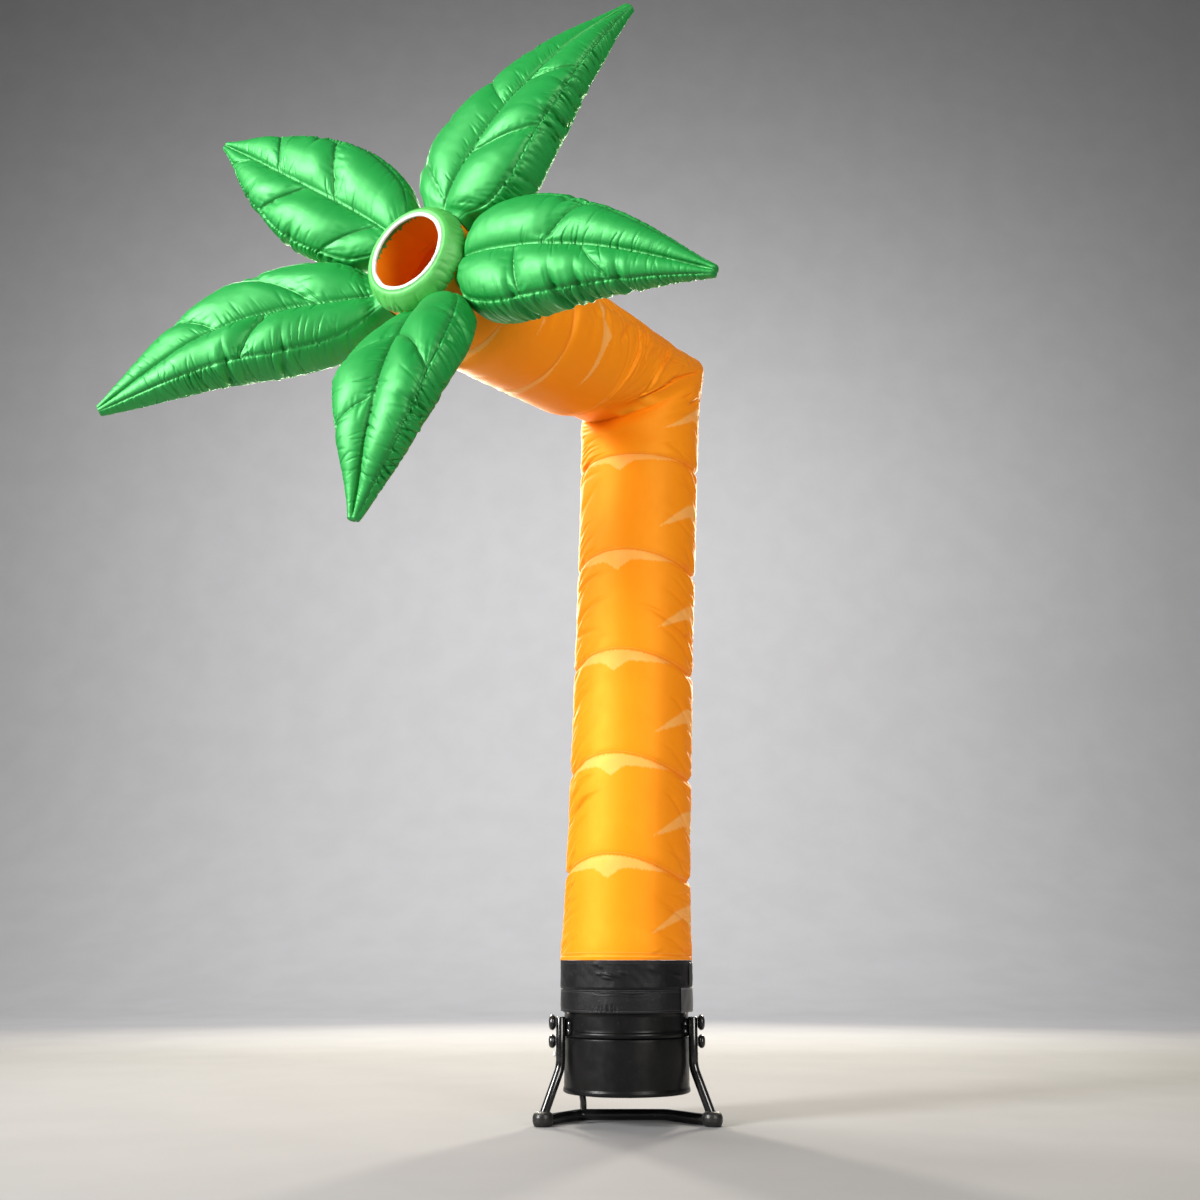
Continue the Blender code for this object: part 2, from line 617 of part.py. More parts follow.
def make_collar():
    """The green cone of cloth between the vent and the leaves, turned about the crown's axis."""
    run = [(COLLAR_INNER, -0.0005), (0.0955, 0.0012), (0.1025, -0.0030), (0.1095, -0.0125),
           (0.1150, -0.0230), (COLLAR_OUTER, -COLLAR_BACK)]
    inside = [(r - CLOTH * 0.8, z - CLOTH * 0.9) for r, z in reversed(run)]
    middle = VENT_RADIUS + BINDING_WIDTH / 2
    bead = [(middle + BINDING_WIDTH / 2 * math.cos(a), BINDING_DEPTH / 2 * math.sin(a) - 0.0008)
            for a in (math.radians(90 - 60 * k) for k in range(6))]
    rings = (("crown_collar", run + inside, "collar_cloth"), ("vent_binding", bead, "white_tape"))
    for name, profile, slot in rings:
        ring = turned(name, profile, slot, 32)
        ring.location = CROWN_CENTRE
        ring.rotation_euler = CROWN.to_3x3().to_euler()


# ---- sleeve, strap, drum ----
def round_body(radius, spot, profile, slot, name):
    """A small turned piece whose axis points straight out of the blower's side, left or right."""
    side, y, z = spot
    return place(turned(name, profile, slot, 14), slot, (side * radius, y, z), (0, side * math.pi / 2, 0))


def wrapped(name, inner, thick, first, last, low, high, slot, round_ends=False):
    """A plate or a length of webbing bent round the blower. first and last are flats of the drum, counted
    anticlockwise from the right, so that its faces lie along the drum's."""
    verts, faces = [], []
    middle = (low + high) / 2
    for flat in range(first, last + 1):
        angle = 2 * math.pi * flat / FACETS
        reach = (high - low) / 2 * (0.60 if round_ends and flat in (first, last) else 1.0)
        for radius, z in ((inner + thick, middle + reach), (inner + thick, middle - reach),
                          (inner, middle - reach), (inner, middle + reach)):
            verts.append((radius * math.cos(angle), radius * math.sin(angle), z))
    for k in range(last - first):
        for i in range(4):
            j = (i + 1) % 4
            faces.append((4 * k + i, 4 * k + j, 4 * k + 4 + j, 4 * k + 4 + i))
    end = 4 * (last - first)
    faces.append((3, 2, 1, 0))
    faces.append((end, end + 1, end + 2, end + 3))
    return place(mesh_object(name, verts, faces), slot)


def make_base_cloth():
    low, high = STRAP_BOTTOM + 0.001, HEM_HEIGHT - GAP / 2
    grip = GRIP_RADIUS + GAP
    outer = [(SLEEVE_RADIUS, high), (SLEEVE_RADIUS - 0.0006, 0.318),
             (SLEEVE_RADIUS - 0.0004, STRAP_TOP + 0.006), (grip + CLOTH, STRAP_TOP - 0.006),
             (grip + CLOTH, low)]
    inner = [(grip, low), (grip, STRAP_TOP - 0.005), (SLEEVE_RADIUS - CLOTH - 0.0004, STRAP_TOP + 0.007),
             (SLEEVE_RADIUS - CLOTH - 0.0006, 0.318), (SLEEVE_RADIUS - CLOTH, high)]
    sleeve = turned("base_sleeve", outer + inner, "black_cloth")
    lap = wrapped("sleeve_lap", SLEEVE_RADIUS - 0.0012, 0.0030, LAP_FLATS[0], LAP_FLATS[1],
                  STRAP_TOP + 0.007, high - 0.004, "black_cloth")
    boolean(sleeve, cutter(lap), "UNION")
    inside = grip + CLOTH + GAP
    outside = inside + STRAP_THICK
    strap = [(outside, STRAP_TOP), (outside + 0.0004, (STRAP_TOP + STRAP_BOTTOM) / 2),
             (outside, STRAP_BOTTOM), (inside, STRAP_BOTTOM), (inside, STRAP_TOP - 0.0075),
             (inside + 0.0018, STRAP_TOP)]
    turned("sleeve_strap", strap, "webbing")
    wrapped("strap_tab", outside + 0.0004 + GAP, 0.0018, TAB_FLATS[0], TAB_FLATS[1],
            STRAP_BOTTOM - 0.001, STRAP_TOP + 0.004, "grey_tab")


def make_drum():
    lip = 0.0016
    profile = [(0.0, DRUM_TOP), (DRUM_RADIUS - 0.003, DRUM_TOP), (DRUM_RADIUS, DRUM_TOP - 0.003),
               (DRUM_RADIUS, DRUM_BOTTOM + 0.012), (DRUM_RADIUS + lip, DRUM_BOTTOM + 0.008),
               (DRUM_RADIUS + lip, DRUM_BOTTOM + 0.002), (DRUM_RADIUS - 0.002, DRUM_BOTTOM),
               (DRUM_RADIUS - 0.014, DRUM_BOTTOM), (DRUM_RADIUS - 0.018, DRUM_RECESS),
               (0.0, DRUM_RECESS)]
    turned("blower_drum", profile, "black_paint")
    start = DRUM_TOP + GAP
    bead = [(DRUM_RADIUS + BEAD_RADIUS * 0.55 * math.cos(a), start + BEAD_RADIUS * (1 + math.sin(a)))
            for a in (math.radians(90 - 40 * k) for k in range(5))]
    ring = [(OUTLET_RADIUS, RING_TOP), (GRIP_RADIUS - 0.004, RING_TOP), (GRIP_RADIUS, RING_TOP - 0.004),
            (GRIP_RADIUS, RING_SHOULDER), (DRUM_RADIUS, RING_SHOULDER - 0.004)]
    ring += bead + [(DRUM_RADIUS - 0.002, start), (OUTLET_RADIUS, start)]
    body = turned("outlet_ring", ring, "black_paint")
    for name, plate in PLATES.items():
        notch = wrapped(f"bead_notch_{name}", DRUM_RADIUS + 0.0001, 0.012, plate["flats"][0] - 1,
                        plate["flats"][1] + 1, start - 0.002, start + 2.6 * BEAD_RADIUS, "black_paint")
        boolean(body, cutter(notch), "DIFFERENCE")


# ---- side plates, knobs and stand ----
def make_side(name, side):
    plate = PLATES[name]
    inner = DRUM_RADIUS + 0.0004
    wrapped(f"side_plate_{name}", inner, PLATE_THICK, *plate["flats"], PLATE_LOW, PLATE_HIGH,
            "black_paint", round_ends=True)
    head = [(0.0, 0.0022), (BOLT_RADIUS * 0.65, 0.0018), (BOLT_RADIUS, 0.0006),
            (BOLT_RADIUS, 0.0), (0.0, 0.0)]
    for place_name, height in (("upper", PLATE_HIGH - 0.010), ("lower", PLATE_LOW + 0.012)):
        bolt = turned(f"plate_bolt_{name}_{place_name}", head, "steel", 10)
        angle = 2 * math.pi * plate["bolts"] / FACETS
        out = Vector((math.cos(angle), math.sin(angle), 0.0))
        face = (inner + PLATE_THICK) * math.cos(math.pi / FACETS)
        bolt.location = out * (face + GAP) + Vector((0, 0, height))
        bolt.rotation_euler = (0, math.pi / 2, angle)
    outside = POST_X + POST_RADIUS + GAP
    for place_name, height, size in KNOBS:
        cap = [(0.0, 0.0165), (0.60 * size, 0.0157), (0.88 * size, 0.0132), (size, 0.0095),
               (0.98 * size, 0.0055), (0.80 * size, 0.0025), (0.62 * size, 0.0), (0.0, 0.0)]
        round_body(outside, (side, POST_Y, height), cap, "knob_plastic", f"clamp_knob_{name}_{place_name}")
    bottom = FOOT_HEIGHT / 2
    post = [(side * POST_X, POST_Y, POST_TOP), (side * POST_X, POST_Y, SPLAY_HEIGHT),
            (side * FOOT_X, FOOT_Y, bottom)]
    leg = bent_tube(f"stand_leg_{name}", post, POST_RADIUS, "tube_paint", 0.016)
    rubber = [(0.0, FOOT_HEIGHT), (0.55, FOOT_HEIGHT), (0.84, 0.88 * FOOT_HEIGHT), (1.0, 0.62 * FOOT_HEIGHT),
              (1.0, 0.34 * FOOT_HEIGHT), (0.90, 0.10 * FOOT_HEIGHT), (0.78, 0.0), (0.0, 0.0)]
    turned(f"foot_{name}", [(r * FOOT_RADIUS, z) for r, z in rubber], "foot_rubber", 20,
           (side * FOOT_X, FOOT_Y, 0.0))
    loose = [(r * FOOT_RADIUS + 1.4 * GAP * min(1.0, 9 * r), z + (GAP if z > 0.01 else -0.003))
             for r, z in rubber]
    room = turned(f"foot_room_{name}", loose, "foot_rubber", 20, (side * FOOT_X, FOOT_Y, 0.0))
    boolean(leg, cutter(room), "DIFFERENCE")
    return room


def make_stand():
    rooms = [make_side("left", -1), make_side("right", 1)]
    route = [(-FOOT_X, FOOT_Y, RAIL_HEIGHT), (RAIL_BENDS_X[0], RAIL_BACK, RAIL_HEIGHT),
             (RAIL_BENDS_X[1], RAIL_BACK, RAIL_HEIGHT), (FOOT_X, FOOT_Y, RAIL_HEIGHT)]
    rail = bent_tube("floor_rail", route, RAIL_RADIUS, "tube_paint", 0.018)
    for room in rooms:
        boolean(rail, room, "DIFFERENCE")
    floor = primitive("box", "floor_cut", size=(0.6, 0.4, 0.02))
    floor.location = (0, 0, -0.01)
    boolean(rail, cutter(floor), "DIFFERENCE")
    x = STRUT_X
    strut = bent_tube("drum_strut", [(x, RAIL_BACK, RAIL_HEIGHT), (x, RAIL_BACK, 0.040),
                                     (x - 0.007, RAIL_BACK, DRUM_RECESS + 0.004)],
                      STRUT_RADIUS, "tube_paint", 0.006, sides=10)
    drum_room = primitive("box", "drum_room", size=(0.1, 0.1, 0.02))
    drum_room.location = (x, RAIL_BACK, DRUM_RECESS - GAP + 0.01)
    boolean(strut, cutter(drum_room), "DIFFERENCE")
    rail_room = bent_tube("rail_room", route, RAIL_RADIUS + GAP, "tube_paint", 0.018)
    boolean(strut, cutter(rail_room), "DIFFERENCE")
    screw = [(0.0, 0.0065), (0.0036, 0.0058), (0.0054, 0.0036), (0.0054, 0.0014), (0.0040, 0.0), (0.0, 0.0)]
    round_body(POST_X + POST_RADIUS + GAP, (-1, POST_Y, 0.1475), screw, "steel", "post_screw")


make_tube()
for leaf in LEAVES:
    make_leaf(leaf)
make_collar()
make_base_cloth()
make_drum()
make_stand()
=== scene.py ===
import math

import bpy
import numpy as np
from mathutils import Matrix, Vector


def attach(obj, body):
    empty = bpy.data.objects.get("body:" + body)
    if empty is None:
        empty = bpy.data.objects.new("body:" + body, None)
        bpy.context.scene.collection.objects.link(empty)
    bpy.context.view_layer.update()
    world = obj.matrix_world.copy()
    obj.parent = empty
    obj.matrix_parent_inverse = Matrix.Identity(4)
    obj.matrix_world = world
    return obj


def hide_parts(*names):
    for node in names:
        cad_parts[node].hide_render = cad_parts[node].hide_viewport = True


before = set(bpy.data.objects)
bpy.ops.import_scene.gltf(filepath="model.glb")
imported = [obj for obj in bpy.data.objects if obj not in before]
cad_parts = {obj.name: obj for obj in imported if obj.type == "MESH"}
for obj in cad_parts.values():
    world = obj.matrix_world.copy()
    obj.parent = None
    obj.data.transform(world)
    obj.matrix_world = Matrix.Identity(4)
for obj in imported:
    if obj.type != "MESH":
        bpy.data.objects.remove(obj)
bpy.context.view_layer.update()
print("frame loaded,", len(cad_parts), "nodes")

blowerAxis = np.array([0.4414, 0.4511, 0.0])    # the drum, ring and trunk stand round this line
plumb = np.array([0.0, 0.0, 1.0])


# small maths on arrays of points
def unit(v):
    return v / np.maximum(np.linalg.norm(v, axis=-1, keepdims=True), 1e-12)


def dot(a, b):
    return (a * b).sum(-1)


def turnAbout(v, axis, angle):
    c = np.cos(angle)[..., None]
    s = np.sin(angle)[..., None]
    return v * c + np.cross(axis, v) * s + axis * dot(axis, v)[..., None] * (1 - c)


def direction(turn, tilt):
    # leans from the front towards the left by turn and up by tilt, in degrees
    turn, tilt = math.radians(turn), math.radians(tilt)
    return np.array([-math.sin(turn) * math.cos(tilt), -math.cos(turn) * math.cos(tilt), math.sin(tilt)])


def hump(x, middle, width, power=2.0):
    return np.exp(-np.abs((x - middle) / width) ** power)


def ease(x, low, high):
    t = np.clip((x - low) / (high - low), 0, 1)
    return t * t * (3 - 2 * t)


def wrapTurn(angle, centre):
    # how far a turn is from a centre given in degrees, either way round
    return (angle - math.radians(centre) + math.pi) % (2 * math.pi) - math.pi


def fullTurn(count):
    return np.linspace(0, 2 * math.pi, count, endpoint=False)


def roundPoints(radius, angle, height):
    # points round an upright line; angle 0 is the front
    return np.stack([radius * np.sin(angle), -radius * np.cos(angle), height], -1)


def arc(start, corner, end, t):
    return start * (1 - t) ** 2 + corner * 2 * t * (1 - t) + end * t ** 2


def readRows(rows, column, at):
    # a column of a table, read smoothly between its rows
    xs = np.array([row["along"] for row in rows])
    ys = np.array([row[column] for row in rows])
    steps = np.diff(ys) / np.diff(xs)
    both = steps[:-1] * steps[1:]
    inner = np.where(both > 0, 2 * both / np.where(both > 0, steps[:-1] + steps[1:], 1.0), 0.0)
    slopes = np.concatenate(([steps[0]], inner, [steps[-1]]))
    at = np.clip(at, xs[0], xs[-1])
    i = np.clip(np.searchsorted(xs, at, side="right") - 1, 0, len(xs) - 2)
    span = xs[i + 1] - xs[i]
    t = (at - xs[i]) / span
    return ((2 * t ** 3 - 3 * t ** 2 + 1) * ys[i] + (t ** 3 - 2 * t ** 2 + t) * span * slopes[i]
            + (3 * t ** 2 - 2 * t ** 3) * ys[i + 1] + (t ** 3 - t ** 2) * span * slopes[i + 1])


def softWaves(seed, x, y, size, count=7):
    # slow unevenness of blown-up cloth, about -1 to 1
    rng = np.random.default_rng(seed)
    total = np.zeros(np.broadcast(x, y).shape)
    for k in range(count):
        turn, phase = rng.uniform(0, 2 * math.pi, 2)
        pitch = size * rng.uniform(0.7, 1.8)
        total = total + np.sin(2 * math.pi * (x * math.cos(turn) + y * math.sin(turn)) / pitch + phase)
    return total / count ** 0.5 * 0.7


def gathers(seed, run, away, spec):
    # puckers that start on a seam: run is measured along it and away from it, in metres
    rng = np.random.default_rng(seed)
    low, high = float(np.min(run)) - 0.03, float(np.max(run)) + 0.03
    count = int((high - low) / spec["every"] * 1.5) + 10
    at = low + np.cumsum(spec["every"] * rng.lognormal(-0.05, 0.45, count))
    bunchCount = max(4, int((high - low) / 0.05))       # they come in bunches about 5 cm apart
    bunches = np.interp(at, np.linspace(low, high, bunchCount), rng.uniform(0.25, 1.0, bunchCount))
    strength = rng.uniform(0.2, 1.0, count) ** spec.get("choosy", 1.3) * bunches
    reach = spec["reach"] * rng.uniform(0.35, 1.0, count) * (0.45 + 0.75 * strength)
    slant = rng.normal(spec.get("slant", 0.0), 0.22, count)
    width = spec["width"] * rng.uniform(0.7, 1.35, count)
    nearest = np.searchsorted(at, run)
    total = np.zeros(np.shape(run))
    for step in (-2, -1, 0, 1, 2):
        i = np.clip(nearest + step, 0, count - 1)
        out = np.clip(away / reach[i], 0, 1)
        across = (run - at[i] - slant[i] * away) / (width[i] * (0.6 + 0.9 * out))
        total -= strength[i] * (1 - out) ** spec.get("fade", 1.3) * np.exp(-np.abs(across) ** 1.5)
    return spec["deep"] * total


def placedCrease(x, y, line, deep, width, fadeIn=0.2, fadeOut=0.4):
    # one pressed crease along points of the flat cloth, with a low swelling on both banks
    line = np.array(line, dtype=float)
    steps = np.linalg.norm(np.diff(line, axis=0), axis=1)
    total, done = steps.sum(), 0.0
    best, share = np.full(x.shape, 9.0), np.zeros(x.shape)
    for (ax, ay), (bx, by), step in zip(line, line[1:], steps):
        t = np.clip(((x - ax) * (bx - ax) + (y - ay) * (by - ay)) / step ** 2, 0, 1)
        off = np.hypot(x - ax - t * (bx - ax), y - ay - t * (by - ay))
        nearer = off < best
        best, share = np.where(nearer, off, best), np.where(nearer, (done + t * step) / total, share)
        done += step
    strength = np.sin(0.5 * math.pi * np.clip(share / fadeIn, 0, 1)) * np.sin(
        0.5 * math.pi * np.clip((1 - share) / fadeOut, 0, 1))
    banks = 0.35 * np.exp(-((best - 2 * width) / width) ** 2)
    return deep * strength * (banks - np.exp(-(best / width) ** 1.35))


# meshes from grids of points
def gridNormals(points, around):
    if around:
        across = np.roll(points, -1, axis=1) - np.roll(points, 1, axis=1)
    else:
        across = np.gradient(points, axis=1)
    return unit(np.cross(across, np.gradient(points, axis=0)))


def outwardNormals(points):
    # of a tube whose last column lies on its first
    normals = gridNormals(points[:, :-1], True)
    normals = np.concatenate([normals, normals[:, :1]], 1)
    out = dot(normals, points - points[:, :-1].mean(1, keepdims=True))
    return np.where(np.sum(out, 1, keepdims=True)[..., None] < 0, -normals, normals)


def closeSeam(points):
    # both edges of the sewn cut take the same line
    middle = (points[:, :1] + points[:, -1:]) / 2
    return np.concatenate([middle, points[:, 1:-1], middle], 1)


def addToRoom(name, data):
    obj = bpy.data.objects.new(name, data)
    bpy.context.scene.collection.objects.link(obj)
    return obj


def gridMesh(name, points, around=True, fields=None, capEnd=False, capStart=False):
    # rows of points joined by faces; fields are numbers kept at each point for the material
    rows, columns = points.shape[:2]
    verts = points.reshape(-1, 3)
    index = np.arange(rows * columns).reshape(rows, columns)
    if around:
        right = np.roll(index, -1, axis=1)
        quads = np.stack([index[:-1], right[:-1], right[1:], index[1:]], -1).reshape(-1, 4)
    else:
        quads = np.stack([index[:-1, :-1], index[:-1, 1:], index[1:, 1:], index[1:, :-1]], -1).reshape(-1, 4)
    faces = quads.tolist()
    rim = columns if around else columns - 1      # an open seam's last column lies on its first
    if capEnd:
        faces.append(index[-1, :rim].tolist())
    if capStart:
        faces.append(index[0, :rim][::-1].tolist())
    mesh = bpy.data.meshes.new(name)
    mesh.vertices.add(len(verts))
    mesh.vertices.foreach_set("co", verts.astype(np.float32).ravel())
    sizes = np.array([len(face) for face in faces], dtype=np.int32)
    loops = np.concatenate([np.array(part, dtype=np.int32) for part in [quads.ravel()] + faces[len(quads):]])
    mesh.loops.add(len(loops))
    mesh.loops.foreach_set("vertex_index", loops)
    mesh.polygons.add(len(faces))
    mesh.polygons.foreach_set("loop_start", np.concatenate(([0], np.cumsum(sizes)[:-1])).astype(np.int32))
    mesh.update(calc_edges=True)
    mesh.validate()
    for field, values in (fields or {}).items():
        layer = mesh.attributes.new(field, "FLOAT", "POINT")
        layer.data.foreach_set("value", np.broadcast_to(values, (rows, columns)).astype(np.float32).ravel())
    mesh.shade_smooth()
    return addToRoom(name, mesh)


def clothFields(wide, long, near, run=None):
    # the flat cloth's own places, how near a seam is, and the run of its stitches
    return {"clothWide": wide, "clothLong": long, "seamNear": near, "seamRun": wide if run is None else run}


def wear(obj, mat, slotName, *replaced):
    # gives a piece its finish, sets it on the body and hides the plain solids it stands for
    obj.data.materials.clear()
    obj.data.materials.append(mat)
    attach(obj, "root")
    if replaced:
        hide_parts(*replaced)
    return obj


# helpers that build the finishes
def newFinish(name, roughness, metallic=0.0, specular=0.5):
    mat = bpy.data.materials.new(name)
    mat.use_nodes = True
    shader = mat.node_tree.nodes["Principled BSDF"]
    shader.inputs["Roughness"].default_value = roughness
    shader.inputs["Metallic"].default_value = metallic
    shader.inputs["Specular IOR Level"].default_value = specular
    return mat, mat.node_tree, shader


def putIn(tree, socket, value):
    # numbers and colours are set, anything else is linked
    if isinstance(value, (int, float)):
        socket.default_value = value
    elif isinstance(value, tuple):
        socket.default_value = (*value, 1.0)
    else:
        tree.links.new(value, socket)


def sums(tree, operation, *values):
    node = tree.nodes.new("ShaderNodeMath")
    node.operation = operation
    for socket, value in zip(node.inputs, values):
        putIn(tree, socket, value)
    return node.outputs[0]


def spread(tree, value, low, high, toLow=0.0, toHigh=1.0):
    node = tree.nodes.new("ShaderNodeMapRange")
    node.interpolation_type = "SMOOTHSTEP"
    tree.links.new(value, node.inputs["Value"])
    for socket, number in (("From Min", low), ("From Max", high), ("To Min", toLow), ("To Max", toHigh)):
        node.inputs[socket].default_value = number
    return node.outputs["Result"]


def blendColours(tree, share, a, b):
    node = tree.nodes.new("ShaderNodeMix")
    node.data_type = "RGBA"
    for socket, value in ((node.inputs["Factor"], share), (node.inputs[6], a), (node.inputs[7], b)):
        putIn(tree, socket, value)
    return node.outputs[2]


def speckle(tree, where, scale, detail=3.0, rough=0.5, stretch=None):
    if stretch:
        mapping = tree.nodes.new("ShaderNodeMapping")
        mapping.inputs["Scale"].default_value = stretch
        tree.links.new(where, mapping.inputs["Vector"])
        where = mapping.outputs["Vector"]
    node = tree.nodes.new("ShaderNodeTexNoise")
    for socket, number in (("Scale", scale), ("Detail", detail), ("Roughness", rough)):
        node.inputs[socket].default_value = number
    tree.links.new(where, node.inputs["Vector"])
    return node.outputs["Fac"]


def mottle(tree, where, scale, detail, low, high, toLow=0.0, toHigh=1.0, rough=0.5):
    # soft spots, spread between two values
    return spread(tree, speckle(tree, where, scale, detail, rough), low, high, toLow, toHigh)


def threads(tree, where, pitch, across):
    # fine parallel threads at this pitch in metres
    node = tree.nodes.new("ShaderNodeTexWave")
    node.bands_direction = across
    node.inputs["Scale"].default_value = math.pi / 10 / pitch
    tree.links.new(where, node.inputs["Vector"])
    return node.outputs["Fac"]


def places(tree):
    return tree.nodes.new("ShaderNodeTexCoord").outputs["Object"]


def kept(tree, field):
    node = tree.nodes.new("ShaderNodeAttribute")
    node.attribute_name = field
    return node.outputs["Fac"]


def flatPlace(tree):
    # the flat cloth's own run and width, in metres, kept on the mesh
    node = tree.nodes.new("ShaderNodeCombineXYZ")
    tree.links.new(kept(tree, "clothWide"), node.inputs[0])
    tree.links.new(kept(tree, "clothLong"), node.inputs[1])
    return node.outputs[0]


def relief(tree, shader, height, distance, strength=1.0, under=None):
    node = tree.nodes.new("ShaderNodeBump")
    node.inputs["Distance"].default_value = distance
    node.inputs["Strength"].default_value = strength
    tree.links.new(height, node.inputs["Height"])
    if under is not None:
        tree.links.new(under, node.inputs["Normal"])
    tree.links.new(node.outputs["Normal"], shader.inputs["Normal"])
    return node.outputs["Normal"]


def stitchMarks(tree, near, run, offset, pitch, width):
    # 1 on the thread of a row of stitches that runs beside a seam
    line = sums(tree, "ABSOLUTE", sums(tree, "SUBTRACT", near, offset))
    onLine = spread(tree, line, width * 0.5, width, 1.0, 0.0)
    step = sums(tree, "FRACT", sums(tree, "DIVIDE", run, pitch))
    onStitch = spread(tree, sums(tree, "ABSOLUTE", sums(tree, "SUBTRACT", step, 0.5)), 0.30, 0.38, 1.0, 0.0)
    return sums(tree, "MULTIPLY", onLine, onStitch)


def finishWith(tree, shader, colour, gloss=None):
    tree.links.new(colour, shader.inputs["Base Color"])
    if gloss is not None:
        tree.links.new(gloss, shader.inputs["Roughness"])


# thin coated nylon of the tube, leaves and collar
def nylon(name, look):
    mat, tree, shader = newFinish(name, look["roughness"], specular=look["specular"])
    shader.inputs["Specular Tint"].default_value = (*look["shine"], 1.0)      # satin takes the cloth's colour
    shader.inputs["IOR"].default_value = look["satin"]
    shader.inputs["Subsurface Weight"].default_value = look["glow"]
    shader.inputs["Subsurface Radius"].default_value = look["glowColour"]
    shader.inputs["Subsurface Scale"].default_value = 0.012
    flat = flatPlace(tree)
    colour = blendColours(tree, mottle(tree, flat, 7.0, 2.0, 0.3, 0.7), look["colour"], look["colourPatch"])
    fibres = speckle(tree, flat, 60.0, 3.0, 0.6, stretch=(1.0, 0.12, 1.0))
    colour = blendColours(tree, spread(tree, fibres, 0.35, 0.75, 0.0, 0.10), colour, look["colourWorn"])
    near, run = kept(tree, "seamNear"), kept(tree, "seamRun")
    # painted shade: the colour darkens in the valleys along the seams, veins, midribs and edges
    colour = blendColours(tree, spread(tree, near, 0.0, 0.006, 0.45, 0.0), colour, look["seamShadeColour"])
    if "print" in look:
        streaks = speckle(tree, flat, 260.0, 2.0, 0.5, stretch=(1.0, 0.12, 1.0))
        ragged = spread(tree, streaks, 0.3, 0.7, -0.0016, 0.0016)
        onPrint = spread(tree, sums(tree, "ADD", kept(tree, "printEdge"), ragged), -0.0022, 0.0022)
        mottled = mottle(tree, flat, 25.0, 3.0, 0.2, 0.8, 0.70, 1.0)
        colour = blendColours(tree, sums(tree, "MULTIPLY", onPrint, mottled), colour, look["print"])
    thread = stitchMarks(tree, near, run, look["stitchFrom"], 0.0046, 0.0011)
    colour = blendColours(tree, sums(tree, "MULTIPLY", thread, look["threadShow"]), colour, look["thread"])
    # painted glow: the cloth's own colour is given off as light, standing in for daylight that soaks into the
    # blown-up cloth from behind
    tree.links.new(colour, shader.inputs["Emission Color"])
    shader.inputs["Emission Strength"].default_value = look["through"]
    finishWith(tree, shader, colour, mottle(tree, flat, 30.0, 4.0, 0.3, 0.7,
                                            look["roughness"] - 0.025, look["roughness"] + 0.03))
    weave = sums(tree, "ADD", threads(tree, flat, 0.0009, "X"), threads(tree, flat, 0.0009, "Y"))
    first = relief(tree, shader, weave, 0.00006, 0.35)
    ripples = speckle(tree, flat, 38.0, 4.0, 0.55, stretch=(1.0, 0.35, 1.0))
    second = relief(tree, shader, ripples, 0.0016, look["ripple"], first)
    relief(tree, shader, thread, 0.0004, look["threadShow"], second)
    return mat


def cottonTape(name, look):
    mat, tree, shader = newFinish(name, 0.85, specular=0.3)
    flat = flatPlace(tree)
    colour = blendColours(tree, mottle(tree, flat, 90.0, 4.0, 0.3, 0.7), look["colour"], look["shade"])
    stains = mottle(tree, flat, 9.0, 3.0, 0.5, 0.75, 0.0, 0.35)
    finishWith(tree, shader, blendColours(tree, stains, colour, look["stain"]))
    weave = sums(tree, "MULTIPLY", threads(tree, flat, 0.0011, "X"), threads(tree, flat, 0.0011, "Y"))
    relief(tree, shader, weave, 0.0003, 0.8)
    return mat


# heavy black cloth, webbing and the tab: a coarse weave with lighter thread tops and dust
def coarseWeave(name, look):
    mat, tree, shader = newFinish(name, look["roughness"], specular=look["specular"])
    shader.inputs["Sheen Weight"].default_value = look.get("sheen", 0.0)
    flat = flatPlace(tree)
    up = threads(tree, flat, look["pitch"], "X")
    over = threads(tree, flat, look["pitch"] * look["flatness"], "Y")
    weave = sums(tree, "MULTIPLY", up, over)
    dust = mottle(tree, flat, 16.0, 5.0, 0.45, 0.75, rough=0.6)
    colour = blendColours(tree, spread(tree, weave, 0.2, 0.9, 0.0, 0.7), look["colour"], look["threadTop"])
    colour = blendColours(tree, sums(tree, "MULTIPLY", dust, look["dust"]), colour, look["dustColour"])
    near = kept(tree, "seamNear")
    edge = spread(tree, near, 0.0, look["edgeWide"], look["edge"], 0.0)
    colour = blendColours(tree, edge, colour, look["edgeColour"])
    thread = stitchMarks(tree, near, kept(tree, "seamRun"), look["stitchFrom"], 0.0050, 0.0009)
    colour = blendColours(tree, sums(tree, "MULTIPLY", thread, look["stitch"]), colour, look["thread"])
    finishWith(tree, shader, colour, spread(tree, dust, 0, 1, look["roughness"], look["roughness"] + 0.12))
    first = relief(tree, shader, weave, look["weaveDeep"], 0.8)
    relief(tree, shader, thread, 0.0005, 0.7, first)
    return mat


# sprayed and stoved black paint on steel; wornTo shows at rubbed places
def blackPaint(name, look):
    mat, tree, shader = newFinish(name, look["roughness"], look.get("metallic", 0.0), look["specular"])
    shader.inputs["Coat Weight"].default_value = look.get("coat", 0.0)
    shader.inputs["Coat Roughness"].default_value = look.get("coatRoughness", 0.35)
    where = places(tree)
    clouds = mottle(tree, where, 9.0, 4.0, 0.35, 0.7, rough=0.6)
    colour = blendColours(tree, clouds, look["colour"], look["colourDusty"])
    rubs = speckle(tree, where, 120.0, 5.0, 0.65)
    scuffs = speckle(tree, where, 14.0, 3.0, 0.5, stretch=(1.0, 1.0, 6.0))
    worn = sums(tree, "MULTIPLY", spread(tree, rubs, 0.60, 0.68), spread(tree, scuffs, 0.52, 0.70))
    colour = blendColours(tree, sums(tree, "MULTIPLY", worn, look["wear"]), colour, look["wornTo"])
    finishWith(tree, shader, colour, mottle(tree, where, 40.0, 5.0, 0.3, 0.75,
                                            look["roughness"], look["roughness"] + 0.14, 0.6))
    relief(tree, shader, speckle(tree, where, look["grainScale"], 2.0), look["grainDeep"], 0.6)
    return mat


